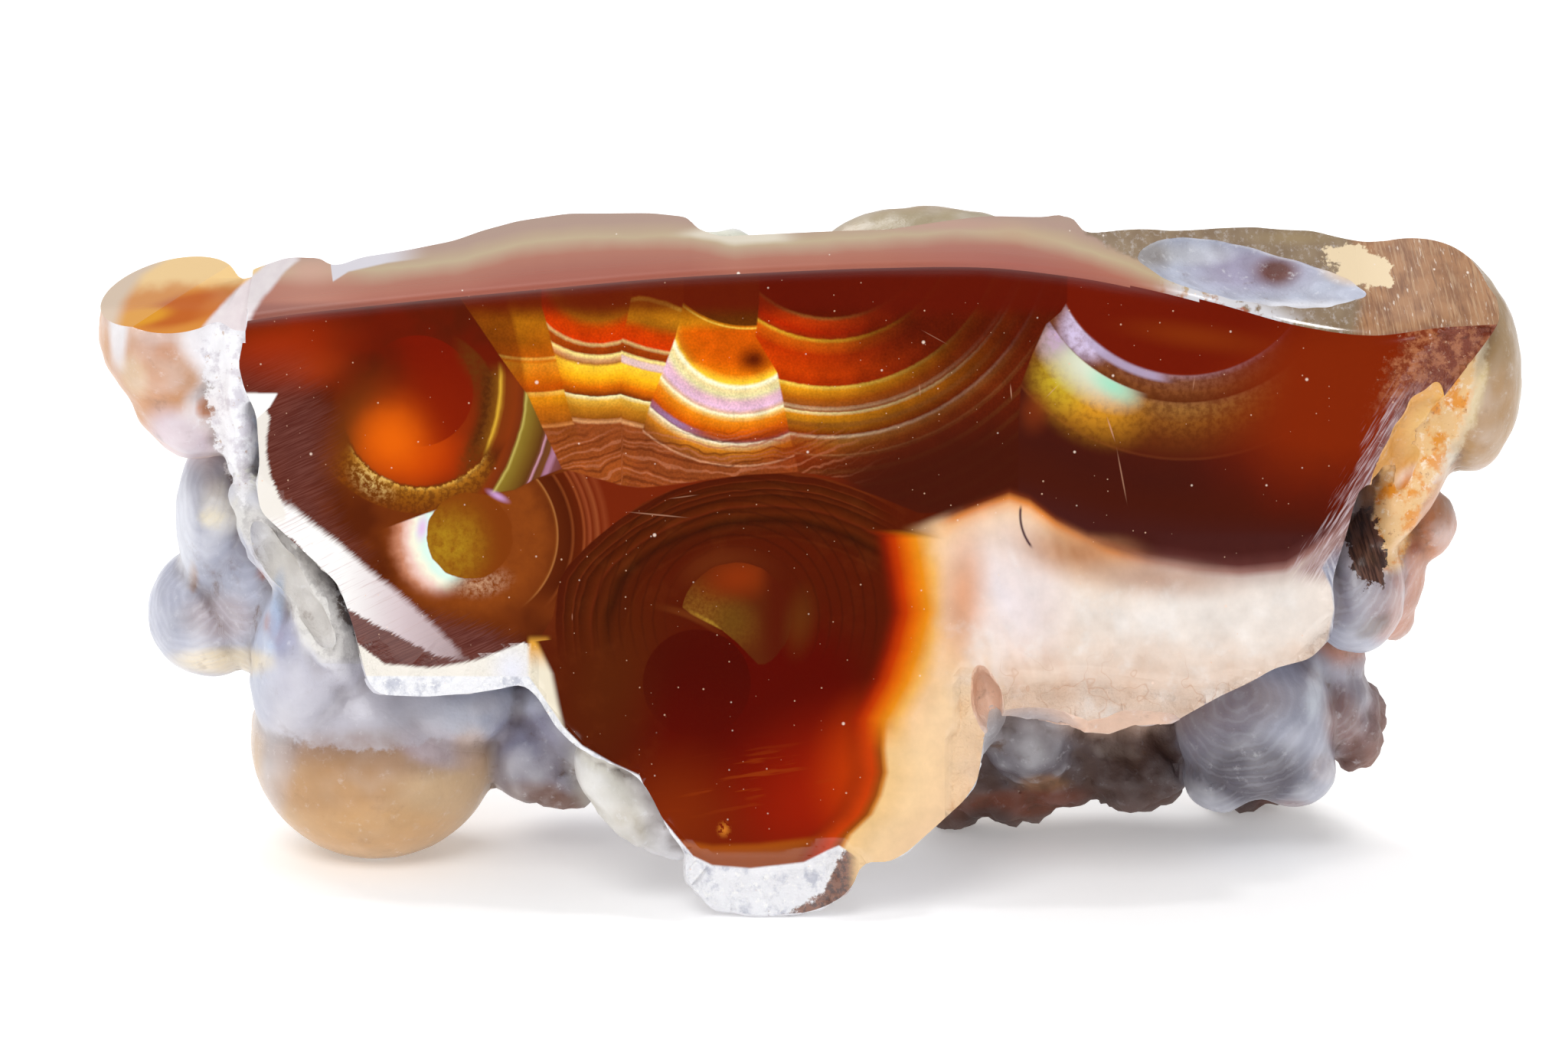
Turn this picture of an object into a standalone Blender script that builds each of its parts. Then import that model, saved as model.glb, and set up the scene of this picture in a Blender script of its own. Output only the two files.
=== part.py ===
"""Fire agate specimen: one natural piece of botryoidal chalcedony, ground and polished on its front and top.

The stone is drawn in millimetres, +X right, +Y into the stone, +Z up, with the polished window at the front.
It stands on the tip of its front lobe, on the round bulb at the left and on two knobs of matrix behind.
"""

import math

import bmesh
import bpy
from mathutils import Matrix, Vector, noise

# Driving dimensions, in millimetres and degrees
MM = 0.001
FACE_LEAN = 10.0
FACE_MIDDLE_X = 3.0
FACE_MIDDLE_Z = 14.0
FACE_BOW_RADIUS = 420.0
TOP_RISE_LEFT = 0.06
TOP_RISE_RIGHT = 0.30
TOP_RISE_FROM_X = 8.5
TOP_RISE_TO_X = 13.0
RIDGE_FILLET_LEFT = 0.35
RIDGE_FILLET_RIGHT = 0.9
FILLET_FROM_X = 10.0
FILLET_TO_X = 17.0
BEVEL_CORNER = (-16.2, 13.7)
BEVEL_NORMAL_ANGLE = 229.0
BEVEL_SLOPE = 0.30
BEVEL_WIDTH = 1.5
BEVEL_REST_SLOPE = 0.12
BEVEL_FADE_FROM_X = -11.0
BEVEL_FADE_TO_X = -5.0
SLAB_DEPTHS = (-6.0, 1.6, 5.0)
SLAB_MIDDLE = (2.0, 15.0)
SLAB_BACK_SCALE = 0.84
CAP_HEIGHTS = (25.0, 19.8, 14.5)
CAP_MIDDLE = (3.0, 2.0)
CAP_LOW_SCALE = 0.8
VOXEL = 0.38
ROUGHNESS_HEIGHT = 0.18
ROUGHNESS_SCALE = 0.5
MATRIX_HEIGHT = 0.5
MATRIX_SCALE = 1.1
MATRIX_FADE_X = (3.5, 6.0)
MATRIX_FADE_Y = (5.2, 7.0)
MATRIX_FADE_Z = (6.5, 3.5)
POLISHER_STATIONS = 41
POLISHER_FACE_HEIGHTS = 16
POLISHER_FILLET_STEPS = 4
POLISHER_HALF_WIDTH = 28.0
POLISHER_FOOT_Z = -2.0
POLISHER_TOP_RUNS = (2.0, 4.0, 8.0, 30.0)
POLISHER_DEPTH = 40.0
SHARP_EDGE_ANGLE = 38.0
ROUGH_TRIANGLES = 8600
ORIGIN_SHIFT = Vector((-0.92, -5.31, 0.0))

# The ridge between the polished front and the polished top, (x, z)
RIDGE_LINE = [
    (-30.0, 17.6), (-18.0, 19.95), (-13.0, 20.6), (-7.7, 21.15), (-3.9, 21.5),
    (0.0, 21.72), (3.0, 21.84), (6.5, 21.86), (9.1, 21.6), (11.7, 21.16),
    (14.3, 20.58), (17.0, 19.85), (19.5, 19.5), (22.0, 19.75), (30.0, 20.0),
]

# The polished window's outline, (x, z) on the leaning front. Its top is left tall for the polish to cut.
WINDOW_OUTLINE = [
    (-17.4, 24.0), (-17.6, 20.4), (-17.9, 19.4), (-18.1, 18.4), (-17.9, 17.6), (-17.5, 16.8), (-17.4, 15.2),
    (-17.5, 14.2), (-17.4, 13.5), (-16.3, 12.5), (-15.4, 11.7), (-14.8, 11.1), (-14.4, 9.9), (-14.2, 9.2),
    (-13.9, 7.9), (-13.5, 7.4), (-11.8, 7.4), (-10.4, 7.6), (-8.7, 8.0), (-8.2, 7.6), (-7.6, 6.6),
    (-7.0, 6.0), (-5.7, 5.4), (-4.9, 5.0), (-4.5, 4.5), (-3.8, 3.1), (-3.3, 2.5), (-2.7, 1.9),
    (-1.7, 1.5), (-0.8, 1.4), (0.2, 1.6), (2.4, 2.2), (3.5, 2.15), (4.1, 2.5), (4.9, 3.2),
    (6.0, 4.2), (6.45, 4.9), (6.65, 6.3), (6.8, 7.1), (8.8, 6.5), (10.8, 6.2), (11.8, 6.5),
    (12.6, 6.55), (13.4, 7.0), (14.5, 7.6), (15.4, 8.0), (16.3, 8.5), (17.5, 8.8), (18.2, 9.5),
    (18.3, 10.4), (18.2, 11.4), (18.7, 13.0), (18.9, 13.8), (19.2, 14.8), (19.7, 15.8), (20.2, 16.7),
    (21.0, 17.9), (22.1, 18.7), (22.9, 19.6), (23.2, 24.0),
]

# The top's outline seen from above, (x, y)
CAP_OUTLINE = [
    (-17.6, -5.0), (-17.9, 6.6), (-16.7, 7.4), (-15.6, 6.8), (-15.1, 5.6), (-14.2, 6.4), (-12.7, 6.6),
    (-11.1, 7.1), (-10.2, 7.9), (-9.0, 8.6), (-7.3, 8.9), (-6.0, 8.5), (-4.5, 8.1), (-3.3, 7.4),
    (-2.9, 6.0), (-2.1, 4.9), (-1.3, 4.3), (-0.2, 4.0), (0.9, 4.4), (1.9, 4.5), (3.2, 4.9),
    (4.2, 5.3), (5.5, 5.9), (6.8, 6.5), (8.1, 6.8), (9.2, 7.2), (9.7, 6.6), (10.1, 4.9),
    (10.5, 3.8), (11.2, 3.9), (12.2, 4.7), (13.7, 5.4), (15.8, 6.6), (17.8, 7.2), (19.8, 6.8),
    (21.4, 6.4), (22.3, 5.8), (23.2, 4.4), (23.7, 3.0), (23.8, 1.2), (23.2, -5.0),
]

# Natural lumps of chalcedony and matrix: centre, radii and turn in degrees seen from the front
LUMPS = {
    # the stone's thickness behind the window
    "heart_left": ((-9.5, 5.8, 13.4), (7.4, 4.8, 6.6), 0),
    "heart_middle": ((1.0, 6.6, 12.0), (9.5, 5.2, 7.4), 0),
    "heart_right": ((12.8, 6.4, 13.2), (7.8, 4.8, 6.2), 0),
    "heart_low": ((2.4, 5.0, 6.4), (5.4, 4.0, 4.4), 0),
    "heart_base": ((8.0, 7.0, 7.6), (8.4, 3.6, 3.4), 0),
    # the round bulb at the lower left, with its neck
    "bulb": ((-13.9, 6.0, 3.95), (4.25, 4.1, 4.1), 0),
    "bulb_neck": ((-15.9, 5.0, 7.6), (2.0, 3.0, 3.7), 14),
    "bulb_root": ((-12.1, 5.5, 5.6), (3.3, 3.0, 1.9), 0),
    # the broken rind along the window's left edge
    "rind_left": ((-18.1, 4.6, 17.2), (0.95, 2.8, 3.6), 0),
    "rind_upper": ((-16.9, 4.2, 11.6), (1.2, 2.9, 2.6), -30),
    "rind_lower": ((-15.4, 4.0, 8.9), (1.2, 2.7, 2.6), -22),
    # the amber lobe at the upper left
    "amber_top": ((-20.5, 6.0, 18.5), (2.55, 4.0, 2.9), 0),
    "amber_low": ((-20.1, 6.0, 16.4), (1.9, 3.2, 2.5), -24),
    "amber_root": ((-18.4, 5.8, 17.0), (1.8, 3.2, 2.9), 0),
    # the rounded lobes at the lower left, further back
    "left_back": ((-19.7, 9.0, 7.6), (2.05, 3.2, 2.15), 0),
    "left_back_upper": ((-19.2, 8.6, 11.0), (1.55, 3.0, 3.0), 0),
    "left_back_root": ((-17.4, 8.4, 9.0), (2.5, 3.6, 3.5), 0),
    # the right-hand end
    "right_bulb": ((23.0, 4.9, 17.1), (1.75, 3.2, 3.3), 0),
    "right_shoulder": ((21.1, 5.2, 18.3), (3.2, 4.0, 3.3), 0),
    "right_break": ((21.0, 4.1, 14.4), (1.3, 2.8, 3.5), 22),
    "right_blue": ((19.2, 3.7, 10.0), (1.7, 2.6, 2.2), 0),
    "knob_upper": ((21.8, 6.5, 11.4), (1.0, 1.5, 1.15), 0),
    "knob_middle": ((21.1, 6.6, 12.6), (1.0, 1.6, 1.1), 0),
    "knob_lower": ((20.7, 7.0, 8.6), (0.8, 1.6, 1.45), 0),
    "knob_root": ((19.7, 6.5, 10.2), (2.1, 2.8, 3.0), 0),
    # blue-grey botryoids at the lower right
    "grape_large": ((16.0, 5.6, 4.7), (2.7, 2.8, 2.65), 0),
    "grape_low": ((14.8, 5.0, 2.75), (1.25, 1.4, 1.05), 0),
    "grape_middle": ((17.3, 5.2, 3.15), (1.5, 1.6, 1.3), 0),
    "grape_back": ((18.6, 7.4, 4.7), (1.45, 2.0, 1.6), 0),
    "grape_brown": ((19.5, 7.8, 3.9), (1.0, 1.7, 1.65), 0),
    # dark matrix under the stone
    "matrix_corner": ((5.75, 8.4, 1.15), (1.1, 1.2, 1.25), 0),
    "matrix_left": ((7.5, 7.8, 1.75), (2.1, 1.7, 1.25), 0),
    "matrix_middle": ((9.3, 7.4, 2.35), (1.7, 1.7, 1.25), 0),
    "matrix_right": ((12.1, 7.0, 2.55), (1.8, 1.7, 1.3), 0),
    "matrix_bed": ((9.9, 8.5, 3.7), (4.9, 2.8, 2.4), 0),
    "matrix_foot": ((16.0, 10.9, 1.75), (1.7, 1.7, 1.85), 0),
    "matrix_foot_root": ((14.8, 9.4, 4.4), (2.8, 2.4, 2.6), 0),
    "grey_bulb": ((8.4, 6.4, 4.0), (1.6, 1.8, 1.65), 0),
    # what shows between the bulb and the front lobe
    "between": ((-8.4, 5.4, 3.7), (1.7, 2.0, 1.85), 0),
    "between_low": ((-7.3, 5.0, 2.85), (1.05, 1.3, 1.1), 0),
    "between_root": ((-5.8, 5.4, 5.2), (3.4, 2.6, 2.7), 0),
    # the white underside of the front lobe, and the leaf-like flake beside it
    "lobe_tip": ((-0.4, -1.5, 1.95), (3.0, 2.3, 2.05), 0),
    "lobe_back": ((0.8, 2.0, 4.2), (3.9, 2.8, 3.2), 0),
    "apron": ((-4.6, 0.4, 3.6), (1.15, 1.6, 2.4), -33),
    "flake": ((-5.7, -0.5, 3.95), (0.8, 1.0, 2.15), -33),
    # what stands behind the polished top
    "hump": ((4.9, 8.4, 20.2), (3.9, 2.0, 1.75), 0),
    "hump_left": ((-1.8, 6.6, 20.7), (1.45, 1.1, 1.0), 0),
    "top_back_left": ((-8.0, 6.4, 18.6), (5.4, 3.2, 2.3), 0),
    "top_back_middle": ((1.2, 5.6, 19.0), (5.0, 2.6, 2.2), 0),
    "top_back_right": ((15.6, 6.0, 18.4), (5.4, 3.2, 2.4), 0),
}

# Scoops broken or weathered out of the stone: centre, radii and turn
SCOOPS = {
    "dish": ((16.3, 3.1, 21.55), (4.8, 2.5, 1.25), 8),
    "break_low_left": ((8.5, -2.0, 6.5), (2.1, 1.5, 0.95), 6),
    "break_low_right": ((11.5, -2.0, 6.4), (2.3, 1.4, 0.9), -8),
    "break_notch": ((6.75, -2.4, 7.5), (0.6, 2.4, 1.5), -14),
    "break_right": ((20.6, 0.0, 15.2), (0.9, 1.7, 3.6), 22),
    "break_left": ((-16.6, 0.7, 11.0), (0.7, 1.5, 3.3), -33),
}

# The slope ground on the amber lobe, and the block that grinds it
AMBER_SLOPE = 10.0
AMBER_POINT = Vector((-20.6, 2.8, 19.35))
AMBER_BLOCK = (6.4, 24.0, 10.0)

# The bubbles of chalcedony over the back, which swells out in its middle
BACK_LUMPS = 44
BACK_LEFT_X = -16.5
BACK_RIGHT_X = 19.0
BACK_LOW_Z = 3.6
BACK_HIGH_Z = 16.4
BACK_Y = 10.2
BACK_SMALLEST = 1.2
BACK_LARGEST = 3.3
BACK_SWELL = 2.2
BACK_MIDDLE_X = 1.0
BACK_MIDDLE_Z = 11.0
BACK_FALL_ACROSS = 0.006
BACK_FALL_UP = 0.022
BACK_SUNK_SHARE = 0.75
BACK_HEIGHT_SHARE = 0.92
GOLDEN = 0.618034


def smooth_step(low, high, value):
    """0 at low and 1 at high, with a smooth rise between them."""
    t = min(max((value - low) / (high - low), 0.0), 1.0)
    return t * t * (3 - 2 * t)


def ridge_z(x):
    """The ridge's height at x, on a smooth curve through the ridge line's points."""
    for i in range(len(RIDGE_LINE) - 1):
        (x0, z0), (x1, z1) = RIDGE_LINE[i], RIDGE_LINE[i + 1]
        if x <= x1:
            break
    before = RIDGE_LINE[max(i - 1, 0)]
    after = RIDGE_LINE[min(i + 2, len(RIDGE_LINE) - 1)]
    slope0 = (z1 - before[1]) / (x1 - before[0])
    slope1 = (after[1] - z0) / (after[0] - x0)
    run = x1 - x0
    t = (x - x0) / run
    bend = (2 * t ** 3 - 3 * t ** 2 + 1) * z0 + (3 * t ** 2 - 2 * t ** 3) * z1
    return bend + ((t ** 3 - 2 * t ** 2 + t) * slope0 + (t ** 3 - t ** 2) * slope1) * run


def bevel_y(x, z):
    """How far the lower left bevel falls back: a steep strip, then a gentle rest."""
    angle = math.radians(BEVEL_NORMAL_ANGLE)
    across = (x - BEVEL_CORNER[0]) * math.cos(angle) + (z - BEVEL_CORNER[1]) * math.sin(angle)
    steep = BEVEL_SLOPE * min(max(across, 0.0), BEVEL_WIDTH)
    gentle = BEVEL_REST_SLOPE * max(across - BEVEL_WIDTH, 0.0)
    return (steep + gentle) * smooth_step(BEVEL_FADE_TO_X, BEVEL_FADE_FROM_X, x)


def face_y(x, z):
    """The polished front's depth: it leans back, bows a little and has a bevel at the lower left."""
    lean = (z - FACE_MIDDLE_Z) * math.tan(math.radians(FACE_LEAN))
    return lean + (x - FACE_MIDDLE_X) ** 2 / (2 * FACE_BOW_RADIUS) + bevel_y(x, z)


def polish_profile(x):
    """(y, z) points of the polish at x: up the front, round the ridge and back along the top."""
    to_right = smooth_step(TOP_RISE_FROM_X, TOP_RISE_TO_X, x)
    rise = TOP_RISE_LEFT + (TOP_RISE_RIGHT - TOP_RISE_LEFT) * to_right
    rounding = smooth_step(FILLET_FROM_X, FILLET_TO_X, x)
    fillet = RIDGE_FILLET_LEFT + (RIDGE_FILLET_RIGHT - RIDGE_FILLET_LEFT) * rounding
    top = ridge_z(x)
    edge = face_y(x, top)
    last_z = top - fillet
    points = []
    for i in range(POLISHER_FACE_HEIGHTS):
        z = POLISHER_FOOT_Z + (last_z - POLISHER_FOOT_Z) * i / POLISHER_FACE_HEIGHTS
        points.append((face_y(x, z), z))
    start_y = face_y(x, last_z)
    end_y = edge + fillet
    end_z = top + rise * fillet
    for i in range(POLISHER_FILLET_STEPS + 1):
        t = i / POLISHER_FILLET_STEPS
        y = (1 - t) ** 2 * start_y + 2 * t * (1 - t) * edge + t * t * end_y
        z = (1 - t) ** 2 * last_z + 2 * t * (1 - t) * top + t * t * end_z
        points.append((y, z))
    for run in POLISHER_TOP_RUNS:
        points.append((edge + run, top + rise * run))
    return points


def new_object(name, bm):
    mesh = bpy.data.meshes.new(name)
    bm.to_mesh(mesh)
    bm.free()
    obj = bpy.data.objects.new(name, mesh)
    bpy.context.scene.collection.objects.link(obj)
    return obj


def settle(obj):
    """Replaces the object's mesh with what its modifiers make of it."""
    graph = bpy.context.evaluated_depsgraph_get()
    obj.data = bpy.data.meshes.new_from_object(obj.evaluated_get(graph))
    obj.modifiers.clear()


def add_lump(bm, centre, radii, turn=0.0, subdivisions=4):
    place = Matrix.Translation(centre) @ Matrix.Rotation(math.radians(turn), 4, "Y")
    shape = place @ Matrix.Diagonal((*radii, 1.0))
    bmesh.ops.create_icosphere(bm, subdivisions=subdivisions, radius=1.0, matrix=shape)


def add_prism(bm, rings):
    """A closed body through three rings of as many points each."""
    near, middle, far = [[bm.verts.new(point) for point in ring] for ring in rings]
    count = len(near)
    faces = [bm.faces.new(near), bm.faces.new(list(reversed(far)))]
    for a, b in ((near, middle), (middle, far)):
        for i in range(count):
            j = (i + 1) % count
            faces.append(bm.faces.new((a[j], a[i], b[i], b[j])))
    bmesh.ops.recalc_face_normals(bm, faces=faces)


def drawn_in(outline, middle, scale):
    """The outline drawn in towards its middle."""
    mid_a, mid_b = middle
    return [(mid_a + (a - mid_a) * scale, mid_b + (b - mid_b) * scale) for a, b in outline]


def add_back_lumps(bm):
    """Botryoidal bubbles of all sizes over the unseen back."""
    for i in range(BACK_LUMPS):
        across = (i * GOLDEN) % 1.0
        up = (i + 0.5) / BACK_LUMPS
        size = noise.cell(Vector((i * 1.7, 3.0, 5.0))) ** 2
        radius = BACK_SMALLEST + (BACK_LARGEST - BACK_SMALLEST) * size
        x = BACK_LEFT_X + (BACK_RIGHT_X - BACK_LEFT_X) * across
        z = BACK_LOW_Z + (BACK_HIGH_Z - BACK_LOW_Z) * up
        fall = BACK_FALL_ACROSS * (x - BACK_MIDDLE_X) ** 2 + BACK_FALL_UP * (z - BACK_MIDDLE_Z) ** 2
        y = BACK_Y + BACK_SWELL - fall - BACK_SUNK_SHARE * radius
        add_lump(bm, (x, y, z), (radius, radius, radius * BACK_HEIGHT_SHARE))


def make_rough():
    """The natural stone before any grinding: all its lumps grown into one."""
    bm = bmesh.new()
    window = []
    for y, scale in zip(SLAB_DEPTHS, (1.0, 1.0, SLAB_BACK_SCALE)):
        outline = drawn_in(WINDOW_OUTLINE, SLAB_MIDDLE, scale)
        window.append([(x, y, z) for x, z in outline])
    add_prism(bm, window)
    cap = []
    for z, scale in zip(CAP_HEIGHTS, (1.0, 1.0, CAP_LOW_SCALE)):
        outline = drawn_in(CAP_OUTLINE, CAP_MIDDLE, scale)
        cap.append([(x, y, z) for x, y in outline])
    add_prism(bm, cap)
    for centre, radii, turn in LUMPS.values():
        add_lump(bm, centre, radii, turn)
    add_back_lumps(bm)
    rough = new_object("rough", bm)
    fuse = rough.modifiers.new("Fuse", "REMESH")
    fuse.mode = "VOXEL"
    fuse.voxel_size = VOXEL
    soften = rough.modifiers.new("Soften", "SMOOTH")
    soften.factor = 0.5
    soften.iterations = 2
    settle(rough)
    return rough


def roughen(obj):
    """Shallow natural unevenness along each point's normal, and more of it on the matrix under the stone."""
    bm = bmesh.new()
    bm.from_mesh(obj.data)
    bm.normal_update()
    for vert in bm.verts:
        x, y, z = vert.co
        matrix = smooth_step(*MATRIX_FADE_X, x) * smooth_step(*MATRIX_FADE_Y, y)
        matrix *= smooth_step(*MATRIX_FADE_Z, z)
        height = ROUGHNESS_HEIGHT * noise.noise(vert.co * ROUGHNESS_SCALE)
        height += matrix * MATRIX_HEIGHT * noise.noise(vert.co * MATRIX_SCALE)
        vert.co += vert.normal * height
    bm.to_mesh(obj.data)
    bm.free()


def make_polisher():
    """A block whose front and top are the polished surfaces. What it doesn't hold is ground away."""
    bm = bmesh.new()
    rows = []
    for i in range(POLISHER_STATIONS):
        x = POLISHER_HALF_WIDTH * (2 * i / (POLISHER_STATIONS - 1) - 1)
        rows.append([bm.verts.new((x, y, z)) for y, z in polish_profile(x)])
    skin = []
    for a, b in zip(rows, rows[1:]):
        for j in range(len(a) - 1):
            skin.append(bm.faces.new((a[j], b[j], b[j + 1], a[j + 1])))
    grown = bmesh.ops.extrude_face_region(bm, geom=skin, use_keep_orig=True)["geom"]
    moved = [v for v in grown if isinstance(v, bmesh.types.BMVert)]
    bmesh.ops.translate(bm, verts=moved, vec=(0.0, POLISHER_DEPTH, -POLISHER_DEPTH))
    bmesh.ops.recalc_face_normals(bm, faces=bm.faces)
    return new_object("polisher", bm)


def cut(obj, cutter, operation):
    step = obj.modifiers.new("Cut", "BOOLEAN")
    step.operation = operation
    step.solver = "EXACT"
    step.object = cutter
    settle(obj)
    bpy.data.objects.remove(cutter)


def make_amber_grinder():
    """The slope ground on the amber lobe at the upper left, facing up and to the front."""
    bm = bmesh.new()
    bmesh.ops.create_cube(bm, size=1.0)
    bmesh.ops.translate(bm, verts=bm.verts, vec=(0.0, 0.0, 0.5))
    turn = Matrix.Rotation(math.radians(AMBER_SLOPE), 4, "X")
    place = Matrix.Translation(AMBER_POINT) @ turn @ Matrix.Diagonal((*AMBER_BLOCK, 1.0))
    bmesh.ops.transform(bm, matrix=place, verts=bm.verts)
    return new_object("amber_grinder", bm)


def flatten_feet(obj):
    """Cuts the stone level at height 0, where its lowest lumps carry it."""
    bm = bmesh.new()
    bm.from_mesh(obj.data)
    everything = bm.verts[:] + bm.edges[:] + bm.faces[:]
    sole = bmesh.ops.bisect_plane(
        bm, geom=everything, dist=1e-4, plane_co=(0, 0, 0), plane_no=(0, 0, 1), clear_inner=True
    )["geom_cut"]
    rim = [e for e in sole if isinstance(e, bmesh.types.BMEdge)]
    bmesh.ops.holes_fill(bm, edges=rim)
    bmesh.ops.triangulate(bm, faces=bm.faces)
    bm.to_mesh(obj.data)
    bm.free()


def thin(obj):
    """Fewer faces, so that the solid stays light."""
    obj.data.calc_loop_triangles()
    step = obj.modifiers.new("Thin", "DECIMATE")
    step.ratio = ROUGH_TRIANGLES / len(obj.data.loop_triangles)
    settle(obj)


def agate_material():
    material = bpy.data.materials.new("fire_agate")
    material.use_nodes = True
    shader = material.node_tree.nodes["Principled BSDF"]
    shader.inputs["Base Color"].default_value = (0.27, 0.05, 0.015, 1.0)
    shader.inputs["Roughness"].default_value = 0.15
    shader.inputs["Metallic"].default_value = 0.0
    return material


def main():
    for old in list(bpy.data.objects):
        bpy.data.objects.remove(old)
    stone = make_rough()
    roughen(stone)
    thin(stone)
    cut(stone, make_polisher(), "INTERSECT")
    cut(stone, make_amber_grinder(), "DIFFERENCE")
    for centre, radii, turn in SCOOPS.values():
        bm = bmesh.new()
        add_lump(bm, centre, radii, turn, subdivisions=3)
        cut(stone, new_object("scoop", bm), "DIFFERENCE")
    flatten_feet(stone)
    stone.name = "fire_agate"
    stone.data.name = "fire_agate"
    stone.data.transform(Matrix.Diagonal((MM, MM, MM, 1.0)) @ Matrix.Translation(ORIGIN_SHIFT))
    stone.data.materials.clear()
    stone.data.materials.append(agate_material())
    stone.data.shade_smooth()
    stone.data.set_sharp_from_angle(angle=math.radians(SHARP_EDGE_ANGLE))


main()
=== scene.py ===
"""Fire agate specimen: one natural stone, polished on its front and top, standing on its own lobes.

The stone is drawn in millimetres, +X right, +Y into the stone, +Z up, then brought into the frame.
"""

import math

import bmesh
import bpy
import numpy as np
from mathutils import Matrix, Vector, noise


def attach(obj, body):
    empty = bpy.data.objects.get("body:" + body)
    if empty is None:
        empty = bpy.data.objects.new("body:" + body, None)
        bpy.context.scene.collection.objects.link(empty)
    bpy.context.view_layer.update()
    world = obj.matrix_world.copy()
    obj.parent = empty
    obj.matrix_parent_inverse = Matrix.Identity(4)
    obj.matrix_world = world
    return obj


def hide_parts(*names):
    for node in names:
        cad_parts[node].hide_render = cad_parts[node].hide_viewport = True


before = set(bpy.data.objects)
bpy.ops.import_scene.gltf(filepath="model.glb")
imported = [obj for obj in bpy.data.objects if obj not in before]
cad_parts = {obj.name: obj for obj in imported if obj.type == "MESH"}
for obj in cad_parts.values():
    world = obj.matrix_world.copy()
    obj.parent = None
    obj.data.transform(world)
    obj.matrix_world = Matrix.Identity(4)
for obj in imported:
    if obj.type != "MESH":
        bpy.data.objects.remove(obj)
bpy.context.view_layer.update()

MM = 0.001
INTO_FRAME = Vector((-0.92, -5.31, 0.0))


# The natural stone. Chalcedony grew in round bubbles on dark matrix, and all of it is one body.
# Each lump has its middle, its radii, its turn as seen from the front, and the name of its own colouring.

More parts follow.
